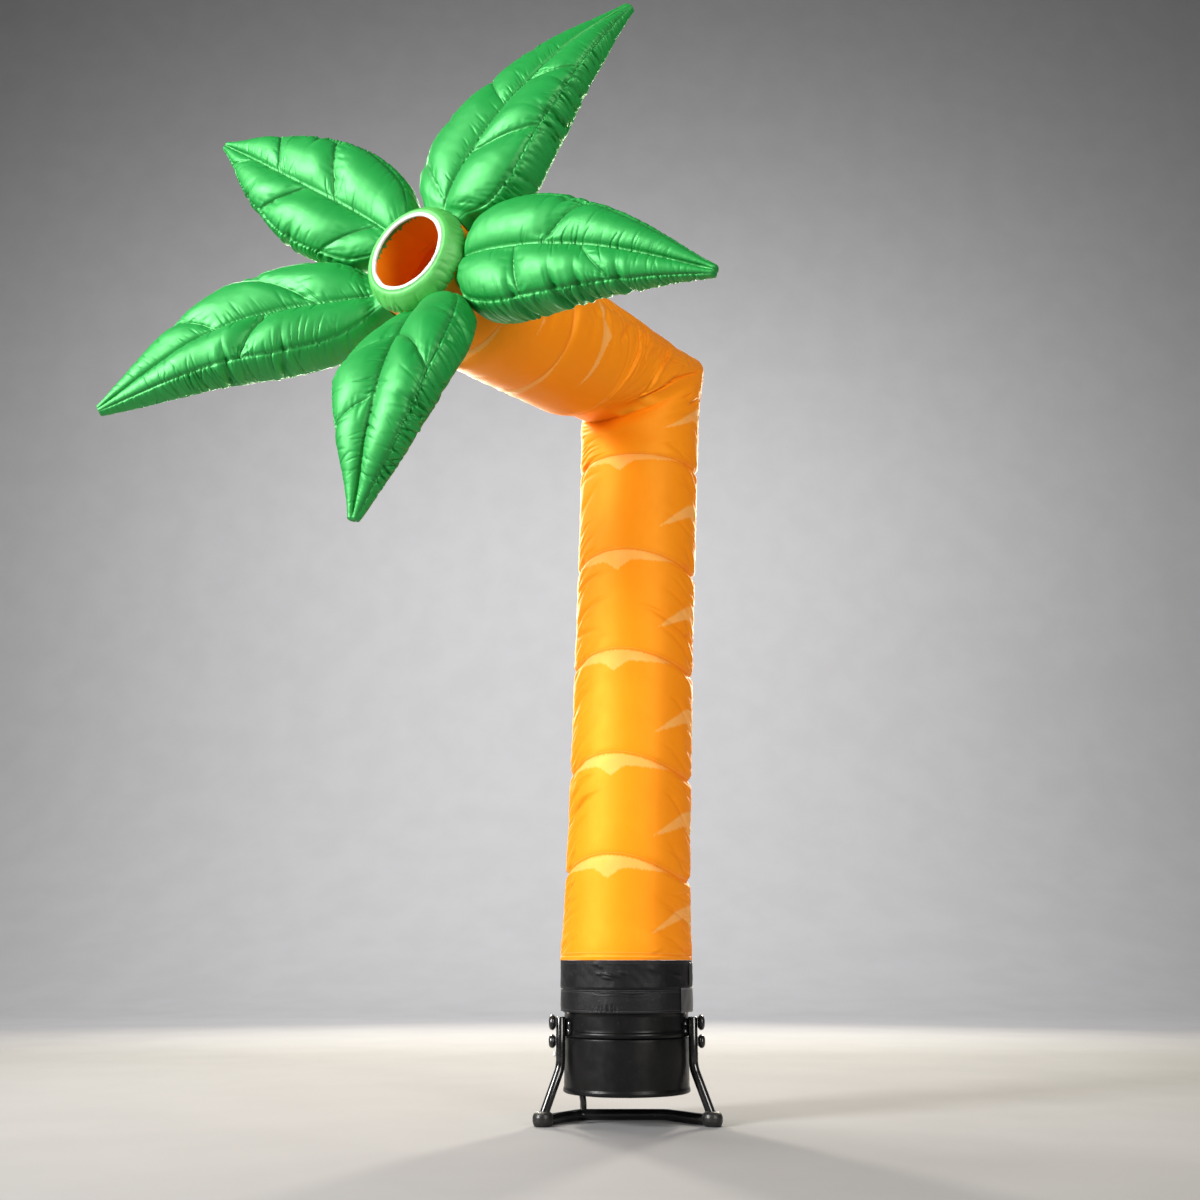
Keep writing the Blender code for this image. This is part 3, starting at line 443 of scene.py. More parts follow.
def moulded(name, look):
    mat, tree, shader = newFinish(name, look["roughness"], specular=look["specular"])
    where = places(tree)
    clouds = mottle(tree, where, 30.0, 4.0, 0.35, 0.7, rough=0.6)
    finishWith(tree, shader, blendColours(tree, clouds, look["colour"], look["colourDusty"]),
               mottle(tree, where, 180.0, 4.0, 0.3, 0.7, look["roughness"], look["roughness"] + 0.12))
    relief(tree, shader, speckle(tree, where, look["grainScale"], 2.0), look["grainDeep"], 0.6)
    return mat


# the tube: trunk, fold and arm
tube = {
    "around": 148,
    "clothRadius": 0.152,                   # the flat cloth is measured at this radius
    "girth": [{"along": a, "radius": r} for a, r in (
        (0.0, 0.1550), (0.025, 0.1550), (0.090, 0.1515), (0.280, 0.1485), (0.700, 0.1480), (1.050, 0.1500),
        (1.250, 0.1535), (1.460, 0.1560), (1.900, 0.1550), (2.085, 0.1530), (2.180, 0.1280),
        (2.225, 0.1140), (2.290, 0.1140), (2.400, 0.1165))],
    "seams": [(0.231, 0.050), (0.465, 0.045), (0.716, 0.037), (0.969, 0.030), (1.229, 0.012),
              (1.911, 0.012), (2.151, 0.012)],                        # along, rise of the arch
    "seamDeep": 0.0058, "seamWide": 0.0065, "bandSwell": 0.0007,
    "archTurn": -17.0,
    "folds": [(0.040, 0.0020, 0.009), (0.085, 0.0022, 0.010), (0.140, 0.0015, 0.010)],  # past, deep, width
    "creaseDeep": 0.0016, "creaseWide": 0.010, "creaseSharp": 0.0110, "creaseBank": 0.0034,
    # where the crease of the fold runs: degrees from the front, and how far past the bend
    "creaseRun": [(-180, 0.0), (-85, -0.018), (-38, -0.005), (6, 0.002), (25, 0.014), (47, 0.036),
                  (65, 0.022), (84, 0.003), (120, 0.0), (180, 0.0)],
    "foldFlat": 0.83, "foldFlare": 0.011, "fan": 0.25,
    "hemHeight": 0.35171, "kink": (0.0497, 0.0, 1.811), "armHeading": (31.4, -4.85),
    "armPulls": (0.50, 0.18),               # how far each end of the arm runs straight
}
crown = {"centre": (-0.453, -0.815, 1.730), "turn": 30.0, "tilt": 4.4, "tubeEndBack": 0.0368}

crownCentre = np.array(crown["centre"])
crownAxis = direction(crown["turn"], crown["tilt"])
crownRight = unit(np.cross(plumb, crownAxis))
crownUp = np.cross(crownAxis, crownRight)
crownAxes = np.stack([crownRight, crownUp, crownAxis], 0)
hem = np.array([0.0, 0.0, tube["hemHeight"]])
kink = np.array(tube["kink"])
tubeEnd = crownCentre - crownAxis * crown["tubeEndBack"]
armStart = direction(*tube["armHeading"])
up = unit(kink - hem)
trunkLength = float(np.linalg.norm(kink - hem))
armLength = float(np.linalg.norm(tubeEnd - kink)) * 1.003       # a little longer than straight, as it bends
tubeLength = trunkLength + armLength
armHandles = (kink, kink + armStart * tube["armPulls"][0], tubeEnd - crownAxis * tube["armPulls"][1], tubeEnd)
mitre = unit(up + armStart)
innerWay = unit(armStart - up * np.dot(armStart, up))


def atCrown(points):
    # from the crown's own axes to the room
    return points @ crownAxes + crownCentre + blowerAxis


def armPlaces(run):
    # the arm's middle line, carried on straight on the trunk's side of the fold
    t = (np.maximum(run, 0) / armLength)[..., None]
    a, b, c, d = armHandles
    centre = a * (1 - t) ** 3 + b * 3 * t * (1 - t) ** 2 + c * 3 * t ** 2 * (1 - t) + d * t ** 3
    centre = centre + armStart * np.minimum(run, 0)[..., None]
    heading = unit((b - a) * (1 - t) ** 2 + (c - b) * 2 * t * (1 - t) + (d - c) * t ** 2)
    return centre, heading


def seamDrop(along, angle, plain):
    # the stitched seams draw the tube in, most at its sides, and the cloth swells between them
    side = ease(np.abs(np.degrees(angle) - tube["archTurn"]), 25, 80)
    deep = tube["seamDeep"] * (0.50 + 0.95 * side)
    wide = tube["seamWide"] * (1 + 0.35 * side)
    drop = np.zeros(along.shape)
    for seamAt, rise in tube["seams"]:
        off = np.abs(along - seamAt)
        drop += deep * np.exp(-(off / wide) ** 1.2)
        drop -= plain * (0.0012 * side * hump(off, 0.014, 0.006) + tube["bandSwell"] * hump(off, 0.045, 0.03))
    return drop


def foldDrop(past, degrees, across):
    # the crease where the tube is folded over, with a bank beside it, and the slack at the inner corner
    fromCrease = past - np.interp(degrees, *zip(*tube["creaseRun"]))
    toCrease = np.abs(fromCrease)
    corner = (1 - 0.9 * hump(degrees, 90, 26)) * (1 - 0.8 * hump(degrees, -88, 26))
    pressed = tube["creaseDeep"] * np.exp(-(toCrease / tube["creaseWide"]) ** 1.3)
    pressed += tube["creaseSharp"] * np.exp(-toCrease / 0.0038)
    onward = past > np.interp(degrees, *zip(*tube["creaseRun"]))
    pressed -= np.where(onward, tube["creaseBank"], -0.001) * hump(toCrease, 0.016, 0.010)
    inner = np.maximum(0, across @ innerWay)
    drop = corner * pressed - 0.003 * inner * hump(np.abs(past), 0.06, 0.04)
    drop -= tube["foldFlare"] * np.maximum(0, across[..., 0]) ** 2 * np.exp(-(past / 0.060) ** 2)
    for at, deep, wide in tube["folds"]:
        sharp = deep * (1 - 0.7 * inner) * np.exp(-np.abs((past - at) / wide) ** 1.4)
        drop += np.where(past > 0, sharp, 0)
    return drop


def tubeSurface(along, angle):
    # points of the tube from the hem to the crown; along on its axis, angle from the front
    along, angle = np.broadcast_arrays(along, angle)
    around = roundPoints(1.0, angle, np.zeros(angle.shape))
    level = np.maximum(0, 1 - along / 0.2)[..., None]           # the hem is level, further up it is square
    across = unit(around - up * (around @ up)[..., None] * (1 - level))
    degrees = (np.degrees(angle) + 180) % 360 - 180
    past = along - trunkLength
    onArm = past > 0
    plain = np.clip((tubeLength - 0.13 - along) / 0.10, 0, 1)
    radius = readRows(tube["girth"], "radius", along)
    radius = radius - seamDrop(along, angle, plain) - foldDrop(past, degrees, across)

    # towards the fold every row tilts until it lies in the mitre between trunk and arm
    offset = -(across * radius[..., None]) @ mitre / np.dot(up, mitre)
    marks = [(0.0, 0.0)] + tube["seams"] + [(tubeLength - 0.02, 0.0)]
    turn = np.sin(angle - math.radians(tube["archTurn"])) ** 2
    arch = np.interp(along, [m[0] for m in marks], [m[1] for m in marks]) * turn
    fan = tube["fan"]
    start = trunkLength - fan
    fanned = along > start
    flat = tube["foldFlat"] + 0.05 * np.clip(across[..., 0], 0, 1) ** 3
    height = np.where(fanned, start + (along - start) * (fan + offset * flat) / fan, along)
    arch = np.where(fanned & (past < fan), arch * np.abs(past) / fan, arch)
    trunk = hem + up * (height - arch)[..., None] + across * radius[..., None]
    share = np.clip((fan - past) / fan, 0, 1)
    run = np.clip(past - share * offset - arch, -0.3, armLength)
    droop = offset * (flat - 1) * share ** 1.5
    mirrored = across - mitre * 2 * (across @ mitre)[..., None]
    centre, heading = armPlaces(run)
    axis = np.cross(np.broadcast_to(armStart, heading.shape), heading)
    size = np.linalg.norm(axis, axis=-1)
    bend = np.arcsin(np.clip(size, 0, 1))
    turned = turnAbout(mirrored, unit(axis), np.where(size > 1e-9, bend, 0))
    arm = centre + turned * radius[..., None] + up * droop[..., None]
    return np.where(onArm[..., None], arm, trunk)


def closeRows(marks, fine, coarse, reach, low, high):
    # row places that crowd together beside each mark
    places = [low]
    while places[-1] < high:
        away = min(abs(places[-1] - mark) for mark in marks)
        places.append(places[-1] + fine + (coarse - fine) * min(1.0, away / reach) ** 1.2)
    return np.array(places[:-1] + [high])


def crowdedTurns(count, places):
    # turns of the columns, close together at the sides where the cloth is gathered
    turns = np.linspace(-math.pi, math.pi, 2881)
    crowd = np.interp(np.degrees(turns), [p[0] for p in places], [p[1] for p in places])
    share = np.concatenate([[0.0], np.cumsum(0.5 * (crowd[1:] + crowd[:-1]))])
    return np.interp(np.linspace(0, share[-1], count + 1), share, turns)


tubeDetail = {
    "fine": 0.0025, "coarse": 0.0037, "reach": 0.012, "lastCoarse": 0.0105, "closeUntil": 0.340,
    "crowd": [(-180, 0.6), (-118, 0.6), (-104, 1.9), (-62, 1.9), (-46, 1.05), (34, 1.05), (48, 2.0),
              (98, 2.0), (114, 0.6), (180, 0.6)],          # degrees from the front, how close the columns are
    "foldRows": (-0.020, -0.004, 0.012, 0.030, 0.044, 0.106, 0.174, 0.201),      # close rows past the bend
    # gathers at the arched seams, away is along the tube
    "seamGathers": {"every": 0.0080, "deep": 0.0026, "reach": 0.024, "width": 0.0028},
    # upright seams on both sides of the tube, in degrees from the front
    "sideSeams": (80.0, -84.0),
    "sideGathers": {"every": 0.0110, "deep": 0.0120, "reach": 0.190, "width": 0.0042,
                    "slant": 0.42, "fade": 1.1},
    "sidePleats": {"every": 0.0240, "deep": 0.0150, "reach": 0.290, "width": 0.0075,
                   "slant": 0.48, "fade": 1.3},
    # creases placed round the fold: metres past the bend and degrees from the front, deep, wide
    "armCreases": [
        ([(0.204, 96), (0.201, 72), (0.200, 55), (0.204, 39), (0.202, 23), (0.194, 6), (0.150, -14)],
         0.0085, 0.0044),
        ([(0.178, 100), (0.173, 74), (0.172, 48)], 0.0055, 0.0036),
        ([(0.190, 80), (0.188, 62), (0.185, 40), (0.170, 22)], 0.0022, 0.0030),
        ([(0.112, 92), (0.108, 67), (0.108, 53), (0.092, 38), (0.052, 20), (0.010, 7)], 0.0085, 0.0042),
        ([(0.122, 94), (0.120, 74), (0.124, 56)], 0.0030, 0.0034),
        ([(0.108, 67), (0.078, 69), (0.052, 69)], 0.0022, 0.0030),
        ([(0.054, 72), (0.050, 58), (0.042, 48)], 0.0030, 0.0032),
        ([(0.060, 84), (0.046, 72)], 0.0030, 0.0032),
        ([(-0.026, 40), (-0.034, 47), (-0.030, 55)], 0.0038, 0.0038),
        ([(-0.020, 58), (-0.044, 66), (-0.080, 72)], 0.0024, 0.0032),
        ([(0.240, 74), (0.238, 48), (0.232, 26), (0.222, 8)], 0.0014, 0.0040),
        ([(0.090, 168), (0.060, 140), (0.040, 118)], 0.0050, 0.0050),
        ([(0.150, -178), (0.120, -150), (0.130, -120)], 0.0044, 0.0050),
        ([(0.060, -110), (0.030, -96), (0.010, -86)], 0.0030, 0.0040)],
    "armRipples": {"count": 24, "from": 0.125, "to": 0.320, "deep": 0.0013, "width": 0.0034},
    "hemGathers": {"every": 0.0150, "deep": 0.0013, "reach": 0.026, "width": 0.0046},
    "hemTucks": [([(0.012, 22), (0.020, 30), (0.030, 34)], 0.0030, 0.0030),
                 ([(0.014, 30), (0.017, 44)], 0.0026, 0.0026)],
    "hemRoll": 0.0014,
}
prints = {
    "half": 59.0, "high": 0.0285, "point": 0.026, "pointHalf": 0.26, "below": 0.002,
    "front": (-20.0, 160.0), "sides": (77.0, -134.0), "sideBend": 0.075, "sideSize": 1.25, "sideShare": 0.37,
    "lastSide": (1.352, 0.026),
    # scales on the arm: metres past the bend, or None at the last seams, centres, bend and size
    "arm": [(0.340, (52.0, -134.0), 0.004, 0.62), (0.226, (-38.0, 142.0), 0.030, 0.45),
            (None, (-38.0, 150.0), 0.0, 0.55), (0.575, (66.0, -120.0), 0.004, 0.55)],
}


def printEdge(along, angle, marks, centres, bend, size=1.0):
    # how far inside a printed palm scale a place is, in metres
    best = np.full(np.broadcast(along, angle).shape, -1.0)
    for mark in marks:
        for centre in centres:
            off = wrapTurn(angle, centre)
            share = np.clip(np.abs(off) / math.radians(prints["half"]), 0, 1.4)
            top = mark - bend * np.cos(2 * (angle - math.radians(tube["archTurn"])))
            body = prints["high"] * (1 - share ** 2.2)
            ragged = 0.0007 * np.sin(off * 43 + mark * 40) + 0.0005 * np.sin(off * 71)
            point = prints["point"] * np.maximum(0, 1 - np.abs(off) / prints["pointHalf"]) ** 1.3
            deep = np.where(share < 1, body + point + ragged, body) * size
            best = np.maximum(best, np.minimum(top - along - prints["below"], along - (top - deep)))
    return best


def printedScales(long, angle, seamAt):
    # under the arched seams of the trunk, between them at the sides, and smaller ones on the arm
    under = list(seamAt[:5])
    lastAt, lastBend = prints["lastSide"]
    rows = [(under, prints["front"], 0.0, 1.0), ([lastAt], prints["sides"], lastBend, 1.0)]
    for low, high in zip([0.0] + under[:-1], under):
        middle = low + prints["sideShare"] * (high - low)
        rows.append(([middle], prints["sides"], prints["sideBend"], prints["sideSize"]))
    onTrunk = np.max([printEdge(long, angle, *row) for row in rows], axis=0)
    armRows = [(seamAt[5:] if row[0] is None else [trunkLength + row[0]], *row[1:]) for row in prints["arm"]]
    onArm = np.max([printEdge(long, angle, *row) for row in armRows], axis=0)
    return np.where(long > trunkLength + 0.02, onArm, np.where(long > trunkLength - 0.01, -1.0, onTrunk))


def creased(along, wide, creases):
    # listed creases, given in metres along the tube and degrees from the front
    push = np.zeros(along.shape)
    for line, deep, width in creases:
        flat = [(at, math.radians(turn) * tube["clothRadius"]) for at, turn in line]
        push += placedCrease(along, wide, flat, deep, width)
    return push


def tubePush(long, angle, wide, seamAt, sideOffs):
    # how far each place stands out from the plain inflated shape
    push = 0.0006 * softWaves(3, wide, long, 0.22) + 0.00012 * softWaves(4, wide, long, 0.035, 9)
    sideShare = 0.35 + 0.65 * np.abs(np.sin(angle - math.radians(tube["archTurn"]))) ** 1.5
    for k, at in enumerate(seamAt):
        for side in (-1, 1):
            away = np.maximum(0, (long - at) * side)
            mask = ((long - at) * side >= 0) & (away < 0.05)
            pucker = gathers(20 + 2 * k + (side > 0), wide, away, tubeDetail["seamGathers"])
            push += np.where(mask, pucker, 0) * sideShare
    calm = 1 - 0.9 * hump(long, trunkLength + 0.03, 0.035)
    for k, off in enumerate(sideOffs):
        inward = 0.22 + 0.78 * ease(np.abs(off), 0.0, 0.045)     # calm on the seam itself
        for side in (-1, 1):
            for j, size in enumerate(("sideGathers", "sidePleats")):
                pucker = gathers(60 + 2 * k + (side > 0) + 40 * j, long, np.abs(off), tubeDetail[size])
                push += np.where(off * side >= 0, pucker, 0) * calm * inward
        push -= 0.0008 * np.exp(-np.abs(off) / 0.003)
    past = long - trunkLength
    push += creased(past, wide, tubeDetail["armCreases"])
    ripples = tubeDetail["armRipples"]
    rng = np.random.default_rng(88)
    for at in np.sort(rng.uniform(ripples["from"], ripples["to"], ripples["count"])):
        start, end = rng.uniform(78, 100), rng.uniform(5, 62)
        line = [(at + 0.03 * (k / 3) ** 2 * rng.uniform(-0.4, 0.2),
                 math.radians(start + (end - start) * k / 3) * tube["clothRadius"]) for k in range(4)]
        push += placedCrease(past, wide, line, ripples["deep"] * rng.uniform(0.3, 1.0),
                             ripples["width"] * rng.uniform(0.8, 1.3), 0.1, 0.8)
    push += gathers(90, wide, long, tubeDetail["hemGathers"]) * (long < 0.05)
    push += creased(long, wide, tubeDetail["hemTucks"])
    push += tubeDetail["hemRoll"] * hump(long, 0.0045, 0.0045) - 0.0006 * hump(long, 0.0125, 0.003)
    push = np.where(long < 0.004, -0.0004, push)
    return push * np.clip((tubeLength - 0.06 - long) / 0.05, 0, 1)


def makeTube():
    detail = tubeDetail
    marks = [0.0] + [at for at, rise in tube["seams"]] + [trunkLength + past for past in detail["foldRows"]]
    closeEnd = trunkLength + detail["closeUntil"]
    near = closeRows(marks, detail["fine"], detail["coarse"], detail["reach"], 0.0, closeEnd)
    far = closeRows(marks, detail["fine"], detail["lastCoarse"], 0.030, closeEnd, tubeLength)
    along = np.concatenate([near, far[1:]])[:, None]
    angle = crowdedTurns(tube["around"], detail["crowd"])[None, :]     # cut and sewn up along the back
    points = tubeSurface(along, angle)
    wide = angle * tube["clothRadius"] + 0 * along
    long = along + 0 * angle
    seamAt = np.array([at for at, rise in tube["seams"]])
    sideOffs = [wrapTurn(angle, centre) * tube["clothRadius"] + 0 * long for centre in detail["sideSeams"]]
    push = tubePush(long, angle, wide, seamAt, sideOffs)
    points = closeSeam(points + outwardNormals(points) * push[..., None])
    steps = np.linalg.norm(np.diff(points, axis=1), axis=2)
    run = np.concatenate([np.zeros((len(along), 1)), np.cumsum(steps, 1)], 1)
    sideNear = np.min(np.abs(np.stack(sideOffs, -1)), -1)
    near = np.min(np.abs(long[..., None] - seamAt), -1)
    near = np.minimum(near, np.minimum(sideNear, np.abs(long - 0.0125)))     # the hem is stitched 12.5 mm up
    fields = clothFields(wide, long, near, np.where(sideNear <= near, long, run))
    fields["printEdge"] = printedScales(long, angle, seamAt)
    obj = gridMesh("tubeCloth", points + blowerAxis, False, fields)
    lengths = np.linalg.norm(np.diff(points, axis=0), axis=2).sum(0)
    return obj, float(np.mean(run[:, -1])), float(np.mean(lengths))


tubeMaterial = nylon("tubeNylon", {
    "colour": (0.97, 0.272, 0.003), "colourPatch": (0.96, 0.256, 0.002), "colourWorn": (0.98, 0.32, 0.010),
    "seamShadeColour": (0.86, 0.15, 0.001), "print": (0.98, 0.43, 0.105), "thread": (0.98, 0.45, 0.10),
    "roughness": 0.58, "specular": 0.90, "satin": 1.72, "shine": (1.0, 0.60, 0.10), "through": 0.02,
    "threadShow": 0.6, "glow": 0.06, "glowColour": (1.0, 0.35, 0.08), "stitchFrom": 0.0042, "ripple": 0.25})
tubeCloth, tubeWide, tubeLong = makeTube()
wear(tubeCloth, tubeMaterial, "tube_cloth", "dancer_tube")
print("tube sewn,", len(tubeCloth.data.polygons), "faces")


# the leaves
leafTable = [{"along": a, "half": h, "gusset": g, "crown": c} for a, h, g, c in (
    (0.0, 0.044, 0.040, 0.003), (0.04, 0.074, 0.041, 0.018), (0.10, 0.103, 0.041, 0.028),
    (0.20, 0.122, 0.040, 0.034), (0.30, 0.128, 0.038, 0.036), (0.40, 0.124, 0.036, 0.035),
    (0.50, 0.112, 0.033, 0.031), (0.60, 0.096, 0.029, 0.027), (0.70, 0.077, 0.025, 0.022),
    (0.80, 0.055, 0.020, 0.017), (0.90, 0.031, 0.014, 0.010), (0.96, 0.018, 0.010, 0.006),
    (1.0, 0.010, 0.007, 0.003))]
leafRootRadius = 0.1235
leafRows, leafFront, leafWall, leafBack = 350, 32, 16, 27       # rows, then columns of half the outline
veinReach = 0.105
leaves = [
    # veins: side, start on the midrib, end on the edge, deep; nicks on the side wall: side, along, deep
    {"name": "leafTop", "node": "leaf_top", "seed": 101, "puckered": 1.0, "seat": 0.1180, "deep": 0.0788,
     "turn": 62.2, "reach": 0.705, "swing": -0.093, "lift": -0.075, "bow": 0.024, "sway": -0.007,
     "roll": -5.1, "wide": 1.09, "thick": 1.06, "skew": -0.001, "belly": 0.85,
     "veins": [(1, 0.030, 0.155, 0.50), (-1, 0.220, 0.390, 0.80), (1, 0.415, 0.500, 0.45),
               (-1, 0.535, 0.655, 0.60)],
     "nicks": [(-1, 0.44, 0.007), (-1, 0.57, 0.006), (1, 0.30, 0.005), (1, 0.66, 0.005)]},
    {"name": "leafRight", "node": "leaf_right", "seed": 202, "puckered": 0.5, "seat": 0.1166, "deep": 0.0804,
     "turn": -13.4, "reach": 0.683, "swing": -0.05, "lift": 0.004, "bow": 0.023, "sway": 0.012, "roll": 2.5,
     "wide": 0.87, "thick": 1.14, "skew": -0.001, "belly": 0.80,
     "veins": [(-1, 0.265, 0.335, 0.60), (1, 0.385, 0.485, 0.80), (-1, 0.525, 0.680, 0.40)],
     "nicks": [(-1, 0.30, 0.006), (-1, 0.47, 0.008), (-1, 0.56, 0.006), (-1, 0.70, 0.006), (1, 0.42, 0.005)]},
    {"name": "leafBottom", "node": "leaf_bottom", "seed": 303, "puckered": 0.75, "seat": 0.1166,
     "deep": 0.0799, "turn": -83.0, "reach": 0.625, "swing": -0.063, "lift": 0.157, "bow": 0.107,
     "sway": 0.044, "roll": -1.7, "wide": 0.99, "thick": 0.83, "skew": -0.036, "belly": 1.04,
     "veins": [(-1, 0.280, 0.395, 0.70), (1, 0.300, 0.525, 0.60), (-1, 0.585, 0.695, 0.60)],
     "nicks": [(1, 0.30, 0.006), (1, 0.62, 0.006), (-1, 0.46, 0.005)]},
    {"name": "leafLowerLeft", "node": "leaf_lower_left", "seed": 404, "puckered": 0.75, "seat": 0.1167,
     "deep": 0.0798, "turn": -158.2, "reach": 0.714, "swing": 0.025, "lift": 0.241, "bow": 0.042,
     "sway": -0.050, "roll": 4.0, "wide": 0.95, "thick": 1.03, "skew": -0.100, "belly": 1.23,
     "veins": [(-1, 0.215, 0.450, 0.80), (1, 0.380, 0.505, 0.80), (-1, 0.550, 0.680, 0.70)],
     "nicks": [(1, 0.34, 0.006), (1, 0.55, 0.007), (-1, 0.40, 0.005)]},
    {"name": "leafUpperLeft", "node": "leaf_upper_left", "seed": 505, "puckered": 0.7, "seat": 0.1172,
     "deep": 0.0793, "turn": 131.3, "reach": 0.678, "swing": 0.12, "lift": 0.131, "bow": 0.039, "sway": 0.022,
     "roll": 4.3, "wide": 0.98, "thick": 0.80, "skew": -0.047, "belly": 1.13,
     "veins": [(1, 0.085, 0.255, 0.50), (-1, 0.315, 0.470, 0.60), (1, 0.445, 0.590, 0.70),
               (-1, 0.610, 0.740, 0.50), (1, 0.785, 0.895, 0.40)],
     "nicks": [(1, 0.40, 0.006), (-1, 0.55, 0.005), (1, 0.68, 0.005)]},
]
leafPuckers = {
    "midrib": {"every": 0.0062, "deep": 0.0100, "reach": 0.070, "width": 0.0017, "slant": 0.45,
               "fade": 1.1, "choosy": 2.6},
    "edge": {"every": 0.0060, "deep": 0.0090, "reach": 0.060, "width": 0.0017, "slant": -0.25,
             "fade": 1.1, "choosy": 2.6},
    "vein": {"every": 0.0062, "deep": 0.0085, "reach": 0.038, "width": 0.0018, "fade": 1.1, "choosy": 2.4},
    "wall": {"every": 0.0052, "deep": 0.0140, "reach": 0.170, "width": 0.0018, "slant": 0.30,
             "fade": 0.8, "choosy": 1.5},
    "back": {"every": 0.0085, "deep": 0.0070, "reach": 0.060, "width": 0.0028},
    "root": {"every": 0.0065, "deep": 0.0110, "reach": 0.100, "width": 0.0024, "fade": 1.0, "choosy": 1.6},
}


def leafWays(leaf):
    # outwards from the vent, and square to that
    turn = math.radians(leaf["turn"])
    return np.array([math.cos(turn), math.sin(turn), 0.0]), np.array([-math.sin(turn), math.cos(turn), 0.0])


def leafMiddle(leaf, along):
    radial, side = leafWays(leaf)
    bulge = np.sin(math.pi * np.clip(along, 0, 1)) ** 1.2
    lift = leaf["lift"] * along ** 1.6 + leaf["bow"] * bulge - leaf["deep"]
    return (radial * (leafRootRadius + (leaf["reach"] - leafRootRadius) * along)[..., None]
            + side * (leaf["swing"] * along ** 1.6 + leaf["sway"] * bulge)[..., None]
            + plumb * lift[..., None])


def leafSurface(leaf, side, row, share, wallTurn):
    # share 0 to 1 from the midrib to the edge, wallTurn 0 on the front, 180 on the back, between on the wall
    row, share, wallTurn = np.broadcast_arrays(row, share, wallTurn)
    veins = sorted(vein[1:] for vein in leaf["veins"] if vein[0] == side)
    starts, rises = [v[0] for v in veins], [v[1] - v[0] for v in veins]
    slant = np.interp(row, [0.0] + starts + [1.0], [0.0] + rises + [0.0])
    along = np.minimum(row + slant * share, 1.0)
    pull = np.zeros(row.shape)
    for start, end, deep in veins:
        pull = np.maximum(pull, 0.78 * deep * np.maximum(0, 1 - np.abs(row - start) / veinReach) ** 2.1)
    station = along ** leaf["belly"]
    half = readRows(leafTable, "half", station) * leaf["wide"] * (1 + side * leaf["skew"]) * (1 - 0.05 * pull)
    gusset = readRows(leafTable, "gusset", station) * (1 + (leaf["thick"] - 1) * np.minimum(1, along / 0.15))
    height = readRows(leafTable, "crown", station)
    lobe = 0.86 * np.sin(math.pi * np.clip(0.03 + 0.97 * share, 0, 1)) ** 0.60
    lobe = np.where(share < 1, lobe, 0)
    turn = np.radians(wallTurn)
    onWall = (wallTurn > 0) & (wallTurn < 180)
    across = np.where(onWall, half + 0.35 * gusset * np.sin(turn), half * share)
    out = gusset * np.cos(turn)
    out = np.where(wallTurn <= 0, gusset + height * lobe * (1 - pull * np.minimum(1, share / 0.15)), out)
    out = np.where(wallTurn >= 180, -gusset - 0.8 * height * lobe, out)
    ahead, behind = np.minimum(along + 0.01, 1), np.maximum(along - 0.01, 0)
    heading = unit(leafMiddle(leaf, ahead) - leafMiddle(leaf, behind))
    face = unit(plumb - heading * heading[..., 2:])
    face = turnAbout(face, heading, math.radians(leaf["roll"]) * np.minimum(1, along / 0.3))
    acrossWay = np.cross(face, heading)
    point = leafMiddle(leaf, along) + acrossWay * (side * across)[..., None] + face * out[..., None]
    reach = np.linalg.norm(point[..., :2], axis=-1)
    least = leaf["seat"] + 0.25 * row
    scale = np.where((row > 0) & (reach < least), least / np.maximum(reach, 1e-9), 1)
    point = np.concatenate([point[..., :2] * scale[..., None], point[..., 2:]], -1)
    # the root is trimmed to the round of the tube's end
    radial, sideways = leafWays(leaf)
    seatedAt = np.sqrt(np.maximum(leaf["seat"] ** 2 - (point @ sideways) ** 2, 0))
    trimmed = point + radial * (seatedAt - point @ radial)[..., None]
    return np.where((row <= 0)[..., None], trimmed, point), along, half, gusset, pull


def veinPush(push, near, leaf, side, rows, share, across, edgeAway, half, use, seed):
    # each vein is a deep line with puckers on both banks and a knot where it ends on the edge
    length = leaf["reach"] - leafRootRadius
    mine = [vein[1:] for vein in leaf["veins"] if vein[0] == side]
    for j, (start, end, deep) in enumerate(mine):
        steep = half.max() / math.hypot(half.max(), (end - start) * length)
        off = (rows - start) * length * steep + 0 * share
        for bank in (1, -1):
            pucker = gathers(seed + 20 + 3 * j + bank, across, np.abs(off), leafPuckers["vein"])
            push += np.where(use & (off * bank >= 0), pucker, 0) * (deep * np.clip(share / 0.1, 0, 1))
        line = 0.0050 * deep * np.exp(-np.abs(off) / 0.0028) * np.clip(share / 0.06, 0, 1)
        lap = np.where(off > 0, np.exp(-off / 0.018), 0) * np.sin(math.pi * np.clip(share, 0, 1)) ** 0.5
        knot = np.hypot(off, edgeAway)
        star = 0.5 * np.cos(np.arctan2(off, edgeAway + 1e-6) * 9 + j) + 0.5
        tied = 0.0055 * deep * np.exp(-(knot / 0.020) ** 1.5) * (0.4 + 0.6 * star)
        push += np.where(use, 0.0042 * deep * lap - line - tied, 0)
        near = np.where(use, np.minimum(near, np.abs(off)), near)
    return push, near


def leafOutline():
    # once round, from the back midrib home to itself: share, wall turn and side of each column
    share = np.concatenate([1 - (1 - np.linspace(0, 1, leafFront, endpoint=False)) ** 1.12, np.ones(leafWall),
                            np.linspace(1, 0, leafBack, endpoint=False), [0.0]])
    turn = np.concatenate([np.zeros(leafFront), np.linspace(0, 180, leafWall, endpoint=False),
                           np.full(leafBack + 1, 180.0)])
    sides = np.concatenate([-np.ones(len(share) - 1), np.ones(len(share))])
    return np.concatenate([share[:0:-1], share]), np.concatenate([turn[:0:-1], turn]), sides


